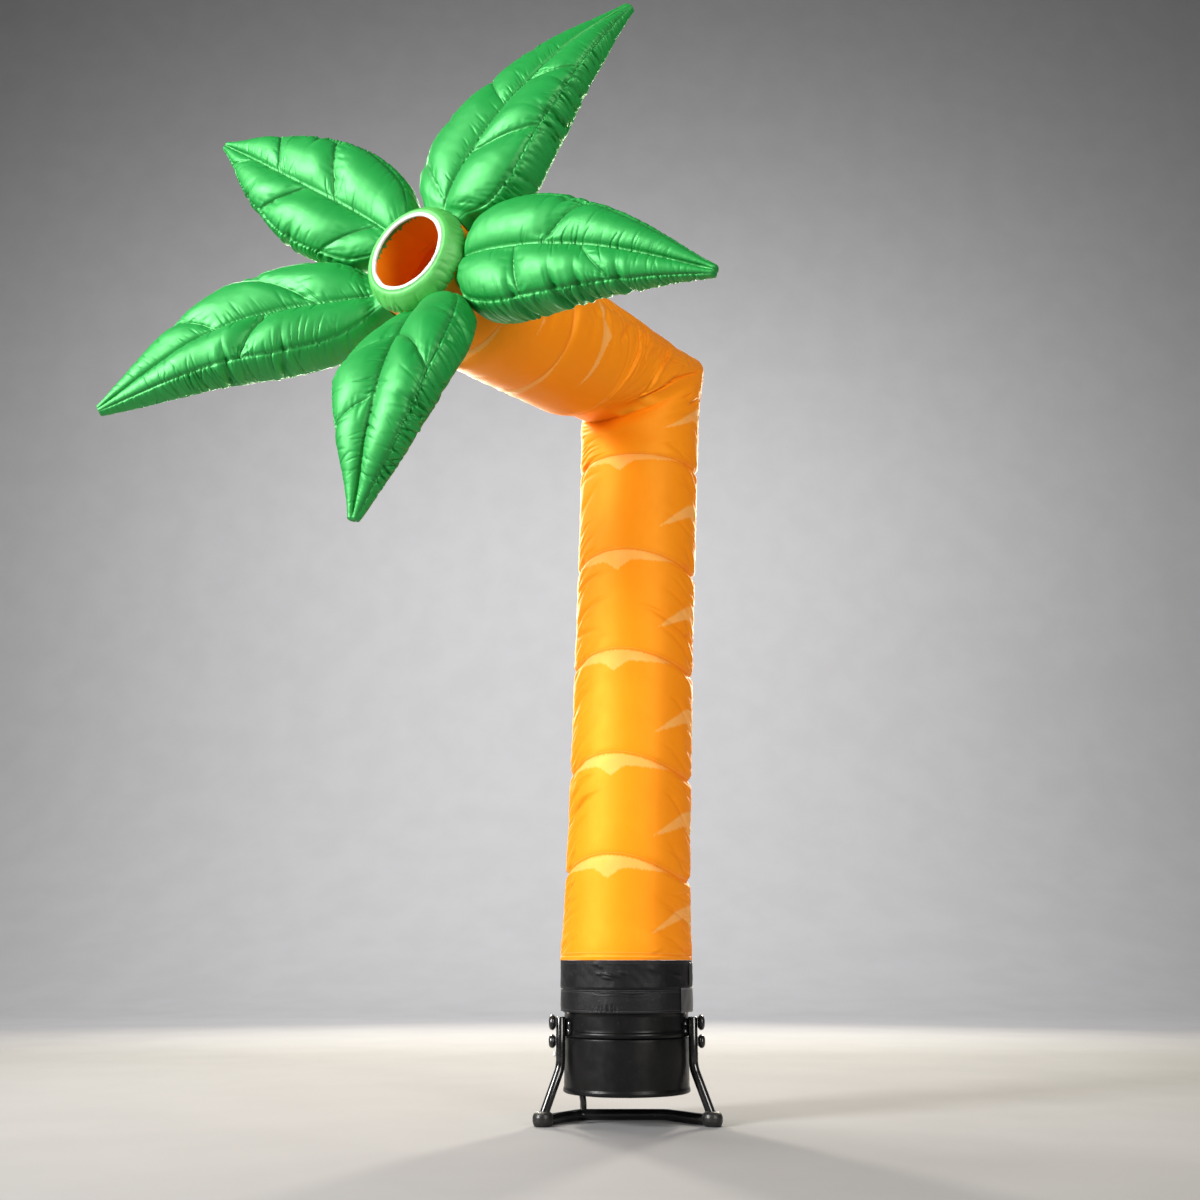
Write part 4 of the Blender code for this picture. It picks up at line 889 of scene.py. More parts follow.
def makeLeaf(leaf):
    share, turn, sides = leafOutline()
    columns = len(share)
    t = np.linspace(0, 1, leafRows)
    rows = (t + 0.035 * np.sin(2 * math.pi * t))[:, None]         # a little closer at the root and the tip
    points = np.zeros((leafRows, columns, 3))
    along, half, gusset, pull = (np.zeros((leafRows, columns)) for _ in range(4))
    for side in (1, -1):
        use = sides == side
        points[:, use], along[:, use], half[:, use], gusset[:, use], pull[:, use] = leafSurface(
            leaf, side, rows, share[None, use], turn[None, use])

    length = leaf["reach"] - leafRootRadius
    run = along * length
    across = half * share
    edgeAway = half * (1 - share)
    onFront, onBack = turn[None, :] <= 0, turn[None, :] >= 180
    onWall = ~onFront & ~onBack
    wallWide = 2 * gusset * 1.12
    fromFront = wallWide * turn[None, :] / 180
    push = 0.0014 * softWaves(leaf["seed"], across * sides, run, 0.13) * (~onWall)
    push += 0.00022 * softWaves(leaf["seed"] + 1, across * sides, run, 0.028, 9)
    slim = np.clip(half / 0.09, 0.25, 1.0)
    near = np.full(push.shape, 1.0)
    for k, side in enumerate((1, -1)):
        use = (sides == side)[None, :] & np.ones(push.shape, bool)
        seed = leaf["seed"] + 10 * (k + 1)
        # the midrib and both edges are gathered, and the side wall is dragged into close slanted wrinkles
        for j, (where, away, kind, much) in enumerate((
                (onFront, across, "midrib", leaf["puckered"]), (onFront, edgeAway, "edge", leaf["puckered"]),
                (onBack, edgeAway, "back", 1), (onBack, across, "back", 1),
                (onWall, fromFront, "wall", 1), (onWall, wallWide - fromFront, "wall", 1))):
            push += np.where(use & where, gathers(seed + j, run, away, leafPuckers[kind]), 0) * much * slim
        for nickSide, at, deep in leaf["nicks"]:
            if nickSide == side:
                level = np.where(onWall, np.sin(np.radians(turn))[None, :] ** 0.5 * 0.7 + 0.3,
                                 np.exp(-edgeAway / 0.018))
                off = run - at * length - 0.25 * np.where(onWall, fromFront, -edgeAway)
                bite = 0.4 * hump(np.abs(off), 0.016, 0.007) - 1.5 * np.exp(-np.abs(off / 0.0055) ** 1.2)
                push += np.where(use & ~onBack, deep * level * bite, 0)
        push, near = veinPush(push, near, leaf, side, rows, share, across, edgeAway, half,
                              use & onFront, seed)
        near = np.where(use & ~onWall, np.minimum(near, np.minimum(across, edgeAway)), near)
        near = np.where(use & onWall, np.minimum(near, np.minimum(fromFront, wallWide - fromFront)), near)
    # the root is gathered where it is sewn round the tube
    rootRun = (across * sides)[0][None, :] + 0 * run
    push += gathers(leaf["seed"] + 50, rootRun + fromFront * 0.5, run, leafPuckers["root"]) * (run < 0.07)
    sewn = np.where(onWall, np.minimum(fromFront, wallWide - fromFront), np.minimum(across, edgeAway))
    push -= np.where(onFront & (across < half * 0.5), 0.0050, 0.0024) * np.exp(-sewn / 0.0026)
    push *= np.clip(rows / 0.03, 0, 1) * np.clip((1 - along) / 0.05, 0.12, 1)
    points = atCrown(closeSeam(points + outwardNormals(points) * push[..., None]))
    wide = np.where(onFront, across, np.where(onBack, half * 2 + wallWide - across, half + fromFront)) * sides
    obj = gridMesh(leaf["name"], points, False, clothFields(wide, run, near, run), capEnd=True)
    girth = float(np.mean(np.linalg.norm(np.diff(points, axis=1), axis=2).sum(1)))
    return obj, girth, float(np.linalg.norm(np.diff(points[:, columns // 2], axis=0), axis=1).sum())


leafMaterial = nylon("leafNylon", {
    "colour": (0.002, 0.225, 0.034), "colourPatch": (0.001, 0.205, 0.029), "colourWorn": (0.008, 0.27, 0.048),
    "seamShadeColour": (0.001, 0.09, 0.010), "thread": (0.01, 0.25, 0.05),
    "roughness": 0.52, "specular": 0.90, "satin": 1.80, "shine": (0.28, 1.0, 0.36), "through": 0.02,
    "threadShow": 0.15, "glow": 0.10, "glowColour": (0.15, 1.0, 0.20), "stitchFrom": 0.0040, "ripple": 0.30})
for leaf in leaves:
    cloth, girth, length = makeLeaf(leaf)
    wear(cloth, leafMaterial, "leaf_cloth", leaf["node"])
    print(leaf["name"], "sewn,", len(cloth.data.polygons), "faces")


# pieces turned about a line
def finer(profile, pitch):
    # extra points along straight runs of a profile, none longer than pitch
    out = [profile[0]]
    for (r0, z0), (r1, z1) in zip(profile, profile[1:]):
        steps = max(1, int(math.ceil(math.hypot(r1 - r0, z1 - z0) / pitch)))
        out += [(r0 + (r1 - r0) * k / steps, z0 + (z1 - z0) * k / steps) for k in range(1, steps + 1)]
    return np.array(out)


def rounded(profile, bend, steps=3):
    # cuts the corners of a profile with small arcs
    points = [np.array(p, dtype=float) for p in profile]
    out = [points[0]]
    for before, here, after in zip(points, points[1:], points[2:]):
        a, b = before - here, after - here
        cut = min(bend, 0.45 * np.linalg.norm(a), 0.45 * np.linalg.norm(b))
        start, end = here + a / np.linalg.norm(a) * cut, here + b / np.linalg.norm(b) * cut
        out += [arc(start, here, end, k / steps) for k in range(steps + 1)]
    return [tuple(p) for p in out + [points[-1]]]


def turnedPoints(profile, segments, pushOut=None):
    # a profile of radius and height, turned once round; run is measured along the profile
    angle = fullTurn(segments)
    r, z = profile[:, :1], profile[:, 1:]
    run = np.concatenate([[0], np.cumsum(np.linalg.norm(np.diff(profile, axis=0), axis=1))])[:, None]
    slope = np.gradient(profile, axis=0)
    normal = np.stack([-slope[:, 1], slope[:, 0]], -1)
    normal = normal / np.maximum(np.linalg.norm(normal, axis=1, keepdims=True), 1e-9)
    push = 0.0 if pushOut is None else pushOut(run, angle[None, :])
    points = roundPoints(r + normal[:, :1] * push + 0 * angle, angle, z + normal[:, 1:] * push + 0 * angle)
    return points, run + 0 * angle, angle + 0 * run


collar = {
    "profile": [(0.0865, -0.0040), (0.0880, -0.0012), (0.0896, -0.0002), (0.0955, 0.0012), (0.1025, -0.0030),
                (0.1095, -0.0125), (0.1150, -0.0230), (0.1182, -0.0351), (0.1176, -0.0400)],
    "segments": 300, "clothRadius": 0.108,
    "outerPuckers": {"every": 0.010, "deep": 0.0110, "reach": 0.060, "width": 0.0028, "choosy": 1.8},
    "innerPuckers": {"every": 0.012, "deep": 0.0080, "reach": 0.045, "width": 0.0026, "choosy": 1.8},
    # longer creases right across, most at the upper right and lower right: degrees, slant, deep
    "creases": ((52, 3, 0.0022), (61, -4, 0.0017), (71, 5, 0.0020), (-28, 4, 0.0022), (-41, -3, 0.0018),
                (-14, 6, 0.0016), (-62, 2, 0.0012), (118, 3, 0.0012), (-130, 4, 0.0012)),
}


def collarPush(run, angle):
    around = angle * collar["clothRadius"] + 0 * run
    high = float(np.max(run))
    push = 0.0009 * softWaves(611, around, run, 0.07)
    push += gathers(612, around, high - run, collar["outerPuckers"])
    push += gathers(613, around, run, collar["innerPuckers"])
    for centre, slant, deep in collar["creases"]:
        off = wrapTurn(angle, centre) * collar["clothRadius"] - 0.006 * slant * (run - 0.01)
        level = np.sin(math.pi * np.clip(run / high, 0, 1) * 0.9 + 0.15)
        push -= deep * np.exp(-np.abs(off / 0.0032) ** 1.3) * level
    return push * ease(run, 0.009, 0.026)


# angle 0 of a turned piece is below the vent; its x is the crown's right
profile = finer(rounded(collar["profile"], 0.004), 0.0016)
points, run, angle = turnedPoints(profile, collar["segments"], collarPush)
points, run, around = atCrown(points)[:, ::-1], run[:, ::-1], (angle * collar["clothRadius"])[:, ::-1]
collarWide, collarLong = 2 * math.pi * collar["clothRadius"], float(run[-1, 0])
collarCloth = gridMesh("collarCloth", points, True, clothFields(
    around, run, np.minimum(np.abs(run - 0.0065), np.abs(run - collarLong + 0.010))))
collarMaterial = nylon("collarNylon", {
    "colour": (0.075, 0.42, 0.075), "colourPatch": (0.055, 0.38, 0.060), "colourWorn": (0.14, 0.52, 0.14),
    "seamShadeColour": (0.020, 0.26, 0.040), "thread": (0.16, 0.56, 0.18),
    "roughness": 0.55, "specular": 0.80, "satin": 1.70, "shine": (0.6, 1.0, 0.6), "through": 0.02,
    "threadShow": 0.4, "glow": 0.12, "glowColour": (0.3, 1.0, 0.3), "stitchFrom": 0.0020, "ripple": 0.35})
wear(collarCloth, collarMaterial, "collar_cloth", "crown_collar")

# the folded white hem of the vent
ventEdge = {
    "middle": 0.0845, "half": 0.0042, "thick": 0.0033, "flat": 0.024, "segments": 320, "rows": 20,
    "pinches": {"every": 0.016, "deep": 0.0011, "reach": 0.02, "width": 0.0022},
}


def makeVentHem():
    angle = fullTurn(ventEdge["segments"])[None, :]
    ring = fullTurn(ventEdge["rows"])[:, None]
    around = angle * ventEdge["middle"] + 0 * ring
    uneven = 0.0011 * softWaves(702, around, 0 * around, 0.045, 9)
    inner = np.maximum(0, -np.cos(ring))
    half = ventEdge["half"] + (0.0010 * softWaves(703, around, 0 * around, 0.030, 9) + 0.0004) * inner
    pinch = gathers(701, around, np.zeros(around.shape), ventEdge["pinches"])
    boxyX, boxyZ = (np.sign(wave) * np.abs(wave) ** 0.8 for wave in (np.cos(ring), np.sin(ring)))
    r = ventEdge["middle"] + (half + pinch * 0.7) * boxyX + uneven * inner
    z = (ventEdge["thick"] + pinch) * boxyZ - 0.0008 + 0.4 * uneven
    points = atCrown(roundPoints(r, angle, z))
    fields = clothFields(around, ring * ventEdge["half"] + 0 * angle,
                         np.abs(np.cos(ring)) * 0.004 + 0 * angle)
    fields = {name: np.concatenate([value, value[:1]], 0) for name, value in fields.items()}
    return gridMesh("ventHem", np.concatenate([points, points[:1]], 0), True, fields)


ventHem = makeVentHem()
wear(ventHem, cottonTape("ventTape", {"colour": (0.82, 0.83, 0.82), "shade": (0.62, 0.63, 0.62),
                                      "stain": (0.70, 0.62, 0.48)}), "white_tape", "vent_binding")
print("collar and vent sewn")


# sleeve, strap and tab on the outlet ring
gap = 0.0003
gripRadius = 0.148 + gap
sleeveRadius, strapLow, strapHigh = 0.1535, 0.239, 0.287
sleeve = {
    "profile": [(gripRadius + 0.0012, strapLow + 0.001), (gripRadius + 0.0013, strapHigh - 0.006),
                (sleeveRadius - 0.0004, strapHigh + 0.006), (sleeveRadius - 0.0006, 0.318),
                (sleeveRadius, 0.3485), (sleeveRadius - 0.0002, 0.3508), (sleeveRadius - 0.0015, 0.3510),
                (sleeveRadius - 0.0022, 0.3470)],
    "segments": 330, "clothRadius": 0.153,
    # small puckers: degrees from the front, height, deep, wide, tall
    "dents": [(-27, 0.341, 0.0022, 0.007, 0.004), (-23, 0.336, 0.0014, 0.004, 0.003),
              (-24, 0.321, 0.0026, 0.006, 0.0030), (-14, 0.3185, 0.0034, 0.016, 0.0032),
              (-17, 0.3125, 0.0022, 0.012, 0.0028), (-3, 0.3230, 0.0014, 0.010, 0.004),
              (22, 0.331, 0.0014, 0.020, 0.006), (-55, 0.326, 0.0018, 0.015, 0.006),
              (48, 0.318, 0.0014, 0.018, 0.004), (120, 0.325, 0.0024, 0.02, 0.006),
              (200, 0.320, 0.0024, 0.02, 0.005)],
    "topGathers": {"every": 0.012, "deep": 0.0009, "reach": 0.014, "width": 0.0032},
    "lowGathers": {"every": 0.010, "deep": 0.0010, "reach": 0.016, "width": 0.0030},
}


def sleevePush(run, angle):
    around = angle * sleeve["clothRadius"] + 0 * run
    height = strapLow + 0.001 + run * 0.985
    push = 0.0006 * softWaves(801, around, height, 0.09) + 0.00025 * softWaves(802, around, height, 0.02, 9)
    for centre, high, deep, wide, tall in sleeve["dents"]:
        off = wrapTurn(angle, centre) * sleeve["clothRadius"]
        push -= deep * np.exp(-(off / wide) ** 2 - ((height - high + 0.15 * off) / tall) ** 2)
    # gathered under the trunk's hem and above the strap
    fromTop, fromStrap = 0.3505 - height, height - (strapHigh + 0.004)
    push += np.where((fromTop > 0) & (fromTop < 0.02),
                     gathers(803, around, np.maximum(fromTop, 0), sleeve["topGathers"]), 0)
    push += np.where(fromStrap > 0, gathers(804, around, np.maximum(fromStrap, 0), sleeve["lowGathers"]), 0)
    return push * (height > strapHigh)


profile = finer(rounded(sleeve["profile"], 0.0012), 0.0018)
points, run, angle = turnedPoints(profile, sleeve["segments"], sleevePush)
sleeveCloth = gridMesh("sleeveCloth", points + blowerAxis, True, clothFields(
    angle * sleeve["clothRadius"], run, np.abs(points[..., 2] - 0.3475)))
blackCloth = coarseWeave("blackCanvas", {
    "colour": (0.0026, 0.0026, 0.0036), "threadTop": (0.0060, 0.0060, 0.0080),
    "dustColour": (0.026, 0.026, 0.034),
    "dust": 0.14, "roughness": 0.40, "specular": 0.24, "pitch": 0.0010, "flatness": 1.0,
    "weaveDeep": 0.00014, "edge": 0.35, "edgeWide": 0.0012, "edgeColour": (0.05, 0.05, 0.06),
    "stitchFrom": 0.0030, "stitch": 0.5, "thread": (0.05, 0.05, 0.055)})
wear(sleeveCloth, blackCloth, "black_cloth", "base_sleeve")


def wrappedBand(name, low, high, first, last, innerAt, thick, columns, rows, push):
    # a strip bent round the blower between two angles from the front, in degrees, closed on all sides
    angle = np.radians(np.linspace(first, last, columns))[None, :]
    up = np.linspace(0, 1, rows)[:, None]
    heights = low + (high - low) * up + 0 * angle
    fat = np.minimum(1.0, np.minimum(5 * up, 5 * (1 - up))) ** 0.5      # thin at its upper and lower edge
    outer = innerAt + thick * (0.45 + 0.55 * fat) + push(heights, angle + 0 * heights)
    rear = roundPoints(innerAt, angle + 0 * heights, heights)
    ring = np.swapaxes(np.concatenate([roundPoints(outer, angle, heights), rear[::-1]], 0), 0, 1)
    around = np.swapaxes(np.concatenate([angle * innerAt + 0 * heights] * 2, 0), 0, 1)
    tall = np.swapaxes(np.concatenate([heights, heights[::-1]], 0), 0, 1)
    fields = clothFields(around, tall, np.minimum(tall - low, high - tall))
    return gridMesh(name, ring + blowerAxis, True, fields, capEnd=True, capStart=True)


def lapPush(height, angle):
    return 0.0004 * softWaves(811, angle * sleeve["clothRadius"], height, 0.03)


def tabPush(height, angle):
    return 0.0004 * softWaves(831, angle * 0.15, height, 0.03)


lap = wrappedBand("sleeveLap", strapHigh + 0.007, 0.3470, 68, 90.5,
                  sleeveRadius - 0.0006, 0.0024, 40, 26, lapPush)
wear(lap, blackCloth, "black_cloth")

strapInner = gripRadius + 0.0015 + gap
strap = {
    "thick": 0.0022, "segments": 420, "clothRadius": 0.1520,
    "tucks": [(-24.5, 0.0020, 0.0026), (-21.5, 0.0026, 0.0022), (-17.0, 0.0042, 0.0026),
              (-12.8, 0.0040, 0.0024), (-9.8, 0.0024, 0.0022), (-33, 0.0010, 0.0022), (40, 0.0010, 0.003),
              (150, 0.0020, 0.003), (170, 0.0024, 0.003)],      # degrees from the front, deep, wide
    # slanted creases under the upper stitching
    "slanted": {"every": 0.014, "deep": 0.0026, "reach": 0.018, "width": 0.0024, "slant": 1.6},
    "pressed": [(-0.088, 0.281), (-0.060, 0.2785), (-0.020, 0.2795), (0.012, 0.2760), (0.060, 0.2800)],
}


def strapPush(run, angle):
    outer = strapInner + strap["thick"]
    high = strapHigh - run
    around = angle * outer + 0 * run
    face = (run > 0) & (high > strapLow + 0.0005)
    push = 0.0003 * softWaves(821, around, high, 0.05) + 0.0001 * softWaves(822, around, high, 0.01, 9)
    fade = np.clip(1 - (high - strapLow) / 0.017, 0, 1)       # tucks start at the lower edge
    for centre, deep, wide in strap["tucks"]:
        off = wrapTurn(angle, centre) * outer
        push -= deep * np.exp(-np.abs(off / wide) ** 1.5) * fade ** 0.8
        push += 0.5 * deep * np.exp(-((np.abs(off) - 1.8 * wide) / wide) ** 2) * fade
    front = np.exp(-(wrapTurn(angle, -12) / 0.75) ** 4) * 0.9 + 0.1
    slanted = gathers(823, around, np.maximum(0, strapHigh - 0.005 - high), strap["slanted"])
    push += slanted * front * (high < strapHigh - 0.004)
    push += placedCrease(wrapTurn(angle, 0) * outer, high, strap["pressed"], 0.0016, 0.0016)
    push -= 0.0006 * hump(high, strapHigh - 0.0046, 0.0011) + 0.0005 * hump(high, strapLow + 0.0042, 0.0011)
    return push * face


profile = finer(rounded([(strapInner + 0.0012, strapHigh), (strapInner + strap["thick"], strapHigh),
                         (strapInner + strap["thick"] + 0.0004, (strapHigh + strapLow) / 2),
                         (strapInner + strap["thick"], strapLow), (strapInner, strapLow)], 0.0007), 0.0013)
points, run, angle = turnedPoints(profile, strap["segments"], strapPush)
webbing = coarseWeave("strapWebbing", {
    "colour": (0.0034, 0.0034, 0.0046), "threadTop": (0.0085, 0.0085, 0.011),
    "dustColour": (0.028, 0.028, 0.036),
    "dust": 0.14, "roughness": 0.40, "specular": 0.26, "pitch": 0.0014, "flatness": 0.6,
    "weaveDeep": 0.00018, "edge": 0.55, "edgeWide": 0.0016, "edgeColour": (0.055, 0.055, 0.065),
    "stitchFrom": 0.0046, "stitch": 0.6, "thread": (0.06, 0.06, 0.066)})
strapCloth = gridMesh(
    "strapWebbingBand", points + blowerAxis, True,
    clothFields(angle * strap["clothRadius"], run, np.minimum(np.abs(points[..., 2] - strapHigh),
                                                              np.abs(points[..., 2] - strapLow))))
wear(strapCloth, webbing, "webbing", "sleeve_strap")

tabMaterial = coarseWeave("tabTape", {
    "colour": (0.050, 0.050, 0.054), "threadTop": (0.085, 0.085, 0.09), "dustColour": (0.12, 0.12, 0.125),
    "dust": 0.20, "roughness": 0.42, "specular": 0.5, "sheen": 0.1, "pitch": 0.0012, "flatness": 1.0,
    "weaveDeep": 0.00012, "edge": 0.75, "edgeWide": 0.0022, "edgeColour": (0.26, 0.26, 0.27),
    "stitchFrom": 0.0034, "stitch": 0.6, "thread": (0.2, 0.2, 0.2)})
tab = wrappedBand("strapTab", strapLow - 0.001, strapHigh + 0.004, 52.5, 97.5,
                  strapInner + strap["thick"] + 0.0007, 0.0018, 64, 30, tabPush)
wear(tab, tabMaterial, "grey_tab", "strap_tab")
print("sleeve, strap and tab set")


# blower drum, outlet ring and stand
drumPaint = blackPaint("drumPaint", {
    "colour": (0.0022, 0.0022, 0.0025), "colourDusty": (0.0045, 0.0045, 0.0050),
    "wornTo": (0.09, 0.09, 0.095),
    "wear": 0.30, "roughness": 0.29, "specular": 0.22,
    "grainScale": 900.0, "grainDeep": 0.00010})
tubePaint = blackPaint("standPaint", {
    "colour": (0.0040, 0.0040, 0.0044), "colourDusty": (0.0070, 0.0070, 0.0076), "wornTo": (0.14, 0.14, 0.15),
    "wear": 0.25, "roughness": 0.14, "specular": 0.5, "coat": 0.5, "coatRoughness": 0.08,
    "grainScale": 600.0, "grainDeep": 0.00004})
knobPlastic = moulded("knobPlastic", {
    "colour": (0.0050, 0.0050, 0.0054), "colourDusty": (0.012, 0.012, 0.013),
    "roughness": 0.16, "specular": 0.55,
    "grainScale": 700.0, "grainDeep": 0.00005})
footRubber = moulded("footRubber", {
    "colour": (0.0080, 0.0080, 0.0085), "colourDusty": (0.022, 0.0215, 0.021),
    "roughness": 0.33, "specular": 0.42,
    "grainScale": 900.0, "grainDeep": 0.00012})
steel = blackPaint("boltSteel", {
    "colour": (0.62, 0.62, 0.64), "colourDusty": (0.42, 0.42, 0.43), "wornTo": (0.30, 0.28, 0.26),
    "wear": 0.40, "roughness": 0.20, "metallic": 1.0, "specular": 0.5,
    "grainScale": 800.0, "grainDeep": 0.00005})

drum = {
    "radius": 0.1433, "bottom": 0.064, "top": 0.1845, "recess": 0.074, "lip": 0.0017,
    "segments": 300, "lipTicks": 150, "tickDeep": 0.0005, "lipRun": 0.146, "ringSegments": 330,
    "ringLow": 0.1848, "beadRadius": 0.0062, "shoulder": 0.2385, "grip": 0.1478, "duct": 0.1386,
    "ringTop": 0.296,
    "plateTurns": ((57.5, 92.5), (-92.5, -57.5)),     # degrees from the front
}


def roundBody(name, profile, segments, material, slotName, replaced, spot=(0, 0, 0), pushOut=None, outTo=0,
              step=0.0035):
    # a closed body turned about a line: upright, or pointing out to the right (1) or the left (-1)
    points, run, angle = turnedPoints(finer(rounded(profile, 0.0014), step), segments, pushOut)
    if outTo:
        points = points[..., ::-1] * np.array([outTo, 1, -outTo])
    obj = gridMesh(name, points + blowerAxis + np.array(spot), True, capEnd=True, capStart=True)
    return wear(obj, material, slotName, replaced)


def lipTicks(run, angle):
    # the rolled lip of the drum is crimped all the way round
    atLip = hump(run, drum["lipRun"], 0.006)
    ticks = np.cos(angle * drum["lipTicks"]) * atLip
    return -drum["tickDeep"] * (0.5 + 0.5 * ticks) * atLip + 0.0002 * softWaves(861, angle * 0.14, run, 0.12)


def ringShape(run, angle):
    # the bead round the ring is pressed flat behind both side plates
    degrees = np.degrees(angle)
    flat = sum(ease(degrees, a - 1.5, a) - ease(degrees, b, b + 1.5) for a, b in drum["plateTurns"])
    radius, z = ringProfile[:, :1] + 0 * angle, ringProfile[:, 1:] + 0 * angle
    bead = (z < drum["ringLow"] + 2.1 * drum["beadRadius"]) & (radius > drum["radius"])
    uneven = 0.00012 * softWaves(862, angle * 0.14, run, 0.05)
    return np.where(bead, -(radius - drum["radius"]) * flat, 0) + uneven


r, low, lip, top = (drum[key] for key in ("radius", "bottom", "lip", "top"))
roundBody("drumShell", [(0.0015, drum["recess"]), (r - 0.018, drum["recess"]), (r - 0.014, low),
                        (r - 0.002, low), (r + lip, low + 0.002), (r + lip, low + 0.008), (r, low + 0.012),
                        (r, top - 0.003), (r - 0.003, top), (0.0015, top)],
          drum["segments"], drumPaint, "black_paint", "blower_drum", pushOut=lipTicks, step=0.0046)
bead, grip, duct, low, top = (drum[key] for key in ("beadRadius", "grip", "duct", "ringLow", "ringTop"))
beadRow = [(r + bead * 0.62 * math.sin(t), low + bead * (1 - math.cos(t)))
           for t in np.linspace(0.25, math.pi - 0.1, 12)]
ringProfile = finer(beadRow + [(r, 0.1985), (r, drum["shoulder"] - 0.004), (grip, drum["shoulder"]),
                               (grip, top - 0.003), (grip - 0.003, top), (duct, top), (duct, low),
                               (r - 0.002, low), beadRow[0]], 0.0055)
points, run, angle = turnedPoints(ringProfile, drum["ringSegments"])
push = ringShape(run, wrapTurn(angle, 0))
points = points + roundPoints(1.0, angle, 0 * angle) * push[..., None] + blowerAxis
wear(gridMesh("outletDuct", points, True), drumPaint, "black_paint", "outlet_ring")

stand = {
    "knobs": (("upper", 0.2155, 0.0168), ("lower", 0.1750, 0.0146)),
    "postX": 0.1502, "postY": -0.049, "postRadius": 0.0106, "postTop": 0.228, "splay": 0.120,
    "foot": (0.187, -0.082), "footRadius": 0.023, "footHigh": 0.031,
    "railRadius": 0.0122, "railHigh": 0.0118, "railBack": 0.030, "railBends": (-0.110, 0.094),
    "strutRadius": 0.0075, "strutX": -0.099,
}


def bentBar(name, route, radius, bend, material, slotName, replaced, sides=30, floorAt=None):
    # a round bar along straight runs with rounded bends
    route = [np.array(p, dtype=float) for p in route]
    line = [route[0]]
    for before, here, after in zip(route, route[1:], route[2:]):
        start, end = here + unit(before - here) * bend, here + unit(after - here) * bend
        line += [arc(start, here, end, t) for t in np.linspace(0, 1, 11)]
    line = np.array(line + [route[-1]])
    heading = unit(np.gradient(line, axis=0))
    side = unit(np.cross(heading, np.array([0.0, 1.0, 0.0]) if abs(heading[0][1]) < 0.6 else plumb))
    for k in range(1, len(side)):
        side[k] = unit(side[k - 1] - heading[k] * np.dot(side[k - 1], heading[k]))
    over = np.cross(heading, side)
    turn = fullTurn(sides)[:, None]
    # both ends are rounded over: place on the line, size, and shift inwards
    rings = [(0, 0.72, 0.0), (0, 0.94, 0.0008), (0, 1.0, 0.0022)]
    ends = [(-1, size, -shift) for k, size, shift in rings[::-1]]
    rings += [(k, 1.0, 0.0) for k in range(1, len(line) - 1)] + ends
    points = np.array([line[k] + heading[k] * shift
                       + (side[k] * np.cos(turn) + over[k] * np.sin(turn)) * radius * size
                       for k, size, shift in rings])
    if floorAt is not None:
        points[..., 2] = np.maximum(points[..., 2], floorAt)
    wear(gridMesh(name, points + blowerAxis, True, capEnd=True, capStart=True), material, slotName, replaced)


def knobGrip(size):
    # twelve shallow flutes round the rim
    def push(run, angle):
        return -0.0005 * (0.5 + 0.5 * np.cos(angle * 12)) ** 3 * hump(run, size * 1.1, 0.006)
    return push


for word, outTo in (("Left", -1), ("Right", 1)):
    node = word.lower()
    x, y = outTo * stand["postX"], stand["postY"]
    footX, footY = outTo * stand["foot"][0], stand["foot"][1]
    bentBar("standLeg" + word, [(x, y, stand["postTop"]), (x, y, stand["splay"]), (footX, footY, 0.019)],
            stand["postRadius"], 0.014, tubePaint, "tube_paint", "stand_leg_" + node)
    high, wide = stand["footHigh"], stand["footRadius"]
    footProfile = [(0.0012, 0.0), (0.78 * wide, 0.0), (0.90 * wide, 0.10 * high), (wide, 0.34 * high),
                   (wide, 0.62 * high), (0.90 * wide, 0.84 * high), (0.66 * wide, 0.985 * high),
                   (0.52 * wide, high), (0.0012, high)]
    roundBody("rubberFoot" + word, footProfile, 72, footRubber, "foot_rubber", "foot_" + node,
              (footX, footY, 0))
    for place, height, size in stand["knobs"]:
        cap = [(0.0008, 0.0), (0.62 * size, 0.0), (0.80 * size, 0.0025), (0.98 * size, 0.0055),
               (size, 0.0095), (0.88 * size, 0.0132), (0.60 * size, 0.0157), (0.30 * size, 0.0163),
               (0.0008, 0.0165)]
        spot = (outTo * (stand["postX"] + stand["postRadius"] + gap), y, height)
        roundBody("clampKnob" + word + place.title(), cap, 84, knobPlastic, "knob_plastic",
                  "clamp_knob_" + node + "_" + place, spot, knobGrip(size), outTo)
low, back = stand["railHigh"], stand["railBack"]
bentBar("floorRail", [(-stand["foot"][0], stand["foot"][1], low), (stand["railBends"][0], back, low),
                      (stand["railBends"][1], back, low), (stand["foot"][0], stand["foot"][1], low)],
        stand["railRadius"], 0.018, tubePaint, "tube_paint", "floor_rail", floorAt=0.0002)
bentBar("drumStrut", [(stand["strutX"], back, 0.020), (stand["strutX"], back, 0.040),
                      (stand["strutX"] - 0.007, back, 0.0745)],
        stand["strutRadius"], 0.008, tubePaint, "tube_paint", "drum_strut")
whiteCap = moulded("whiteCap", {
    "colour": (0.78, 0.78, 0.79), "colourDusty": (0.60, 0.60, 0.60), "roughness": 0.22, "specular": 0.5,
    "grainScale": 700.0, "grainDeep": 0.00004})
for name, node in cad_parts.items():
    for start, mat in (("plate_bolt", steel), ("post_screw", whiteCap), ("side_plate", tubePaint)):
        if name.startswith(start):
            node.data.materials.clear()
            node.data.materials.append(mat)
print("blower and stand finished")

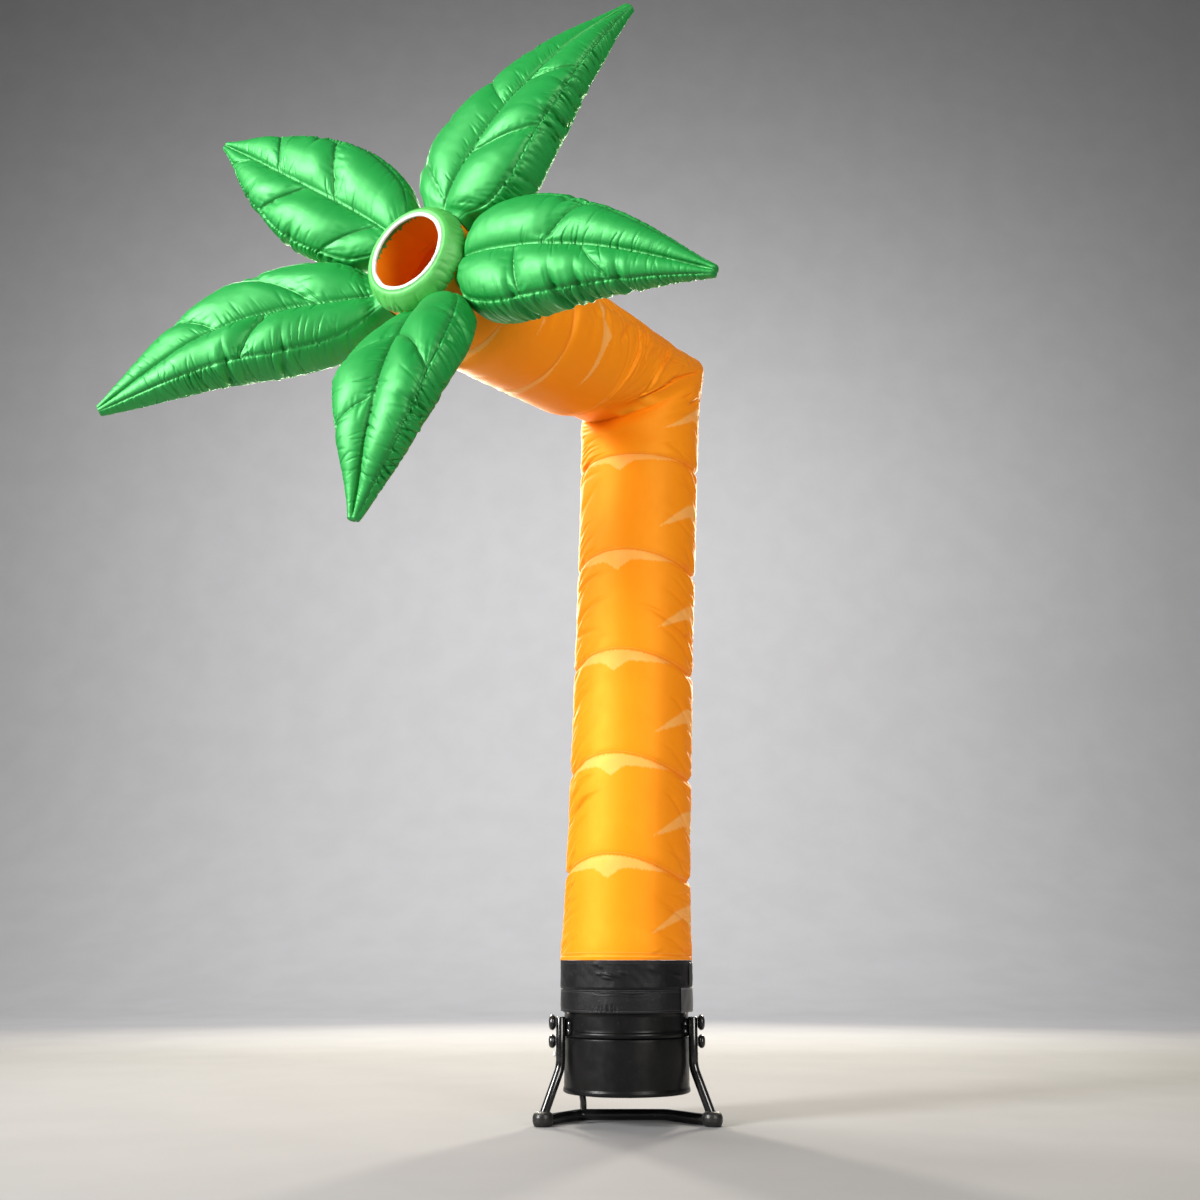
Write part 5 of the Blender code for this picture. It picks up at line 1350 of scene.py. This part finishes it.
# floor, light and camera
stage = {
    "floor": (0.25, 0.25, 0.26), "air": (1.0, 0.97, 0.94), "airStrength": 0.13,
    "sweepAt": 6.0, "sweepRadius": 4.0,
    # name, spot, aim, size, power, colour; the last one lights only the sweep behind the object
    "lights": (("keyLight", (-5.2, -3.0, 3.3), (0.1, 0.1, 1.3), (1.7, 2.6), 800, (1.0, 0.985, 0.96)),
               ("fillLight", (3.9, -5.1, 2.6), (0.2, 0.2, 1.5), (2.4, 2.8), 265, (1.0, 0.965, 0.91)),
               ("rimLeft", (-1.0, 4.2, 2.7), (0.2, 0.3, 1.5), (0.4, 1.8), 240, (1.0, 0.93, 0.76)),
               ("rimRight", (2.0, 4.2, 2.7), (0.3, 0.3, 1.5), (0.4, 1.8), 240, (1.0, 0.93, 0.76)),
               ("rimTop", (-0.35, 1.6, 3.3), (-0.1, -0.2, 1.95), (1.8, 0.25), 110, (1.0, 0.97, 0.88)),
               ("backLight", (0.2, 3.4, 4.7), (0.2, 9.8, 3.4), (8.0, 2.2), 1150, (1.0, 0.99, 0.97))),
    "lens": 37.02, "cameraFromBlower": (-0.061, -3.016, 0.350), "cameraUp": 16.3,
}


def area(name, spot, aim, size, power, colour):
    light = bpy.data.lights.new(name, "AREA")
    light.shape = "RECTANGLE"
    light.size, light.size_y = size
    light.energy = power
    light.color = colour
    obj = addToRoom(name, light)
    obj.location = spot
    obj.rotation_euler = (Vector(aim) - Vector(spot)).to_track_quat("-Z", "Y").to_euler()


def makeFloor():
    # a pale sweep: flat under the object, rising far behind it
    start, radius = stage["sweepAt"], stage["sweepRadius"]
    rise = np.linspace(0, math.pi / 2, 16)[1:]
    ys = np.concatenate([np.linspace(-14, start, 30), start + radius * np.sin(rise), [start + radius]])
    zs = np.concatenate([np.zeros(30), radius - radius * np.cos(rise), [3 * radius]])
    xs = np.linspace(-16, 16, 24)
    points = np.stack(np.broadcast_arrays(xs[None, :], ys[:, None], zs[:, None]), -1)
    floor = gridMesh("studioFloor", points, False)
    mat, tree, shader = newFinish("studioFloorPaint", 0.92, specular=0.02)
    where = places(tree)
    patches = mottle(tree, where, 3.0, 4.0, 0.3, 0.7)
    darker = tuple(0.96 * c for c in stage["floor"])
    finishWith(tree, shader, blendColours(tree, patches, stage["floor"], darker))
    relief(tree, shader, speckle(tree, where, 60.0, 4.0), 0.0006, 0.3)
    floor.data.materials.append(mat)
    return floor


floor = makeFloor()
world = bpy.data.worlds.new("studioAir")
bpy.context.scene.world = world
world.use_nodes = True
world.node_tree.nodes["Background"].inputs["Color"].default_value = (*stage["air"], 1.0)
world.node_tree.nodes["Background"].inputs["Strength"].default_value = stage["airStrength"]
for light in stage["lights"]:
    area(*light)

lens = bpy.data.cameras.new("studioCamera")
lens.sensor_width = 36.0
lens.lens = stage["lens"]
camera = addToRoom("studioCamera", lens)
camera.location = blowerAxis + np.array(stage["cameraFromBlower"])
camera.rotation_euler = (math.radians(90 + stage["cameraUp"]), 0.0, 0.0)
bpy.context.scene.camera = camera
bpy.context.scene.view_settings.view_transform = "Standard"

print("scene ready")
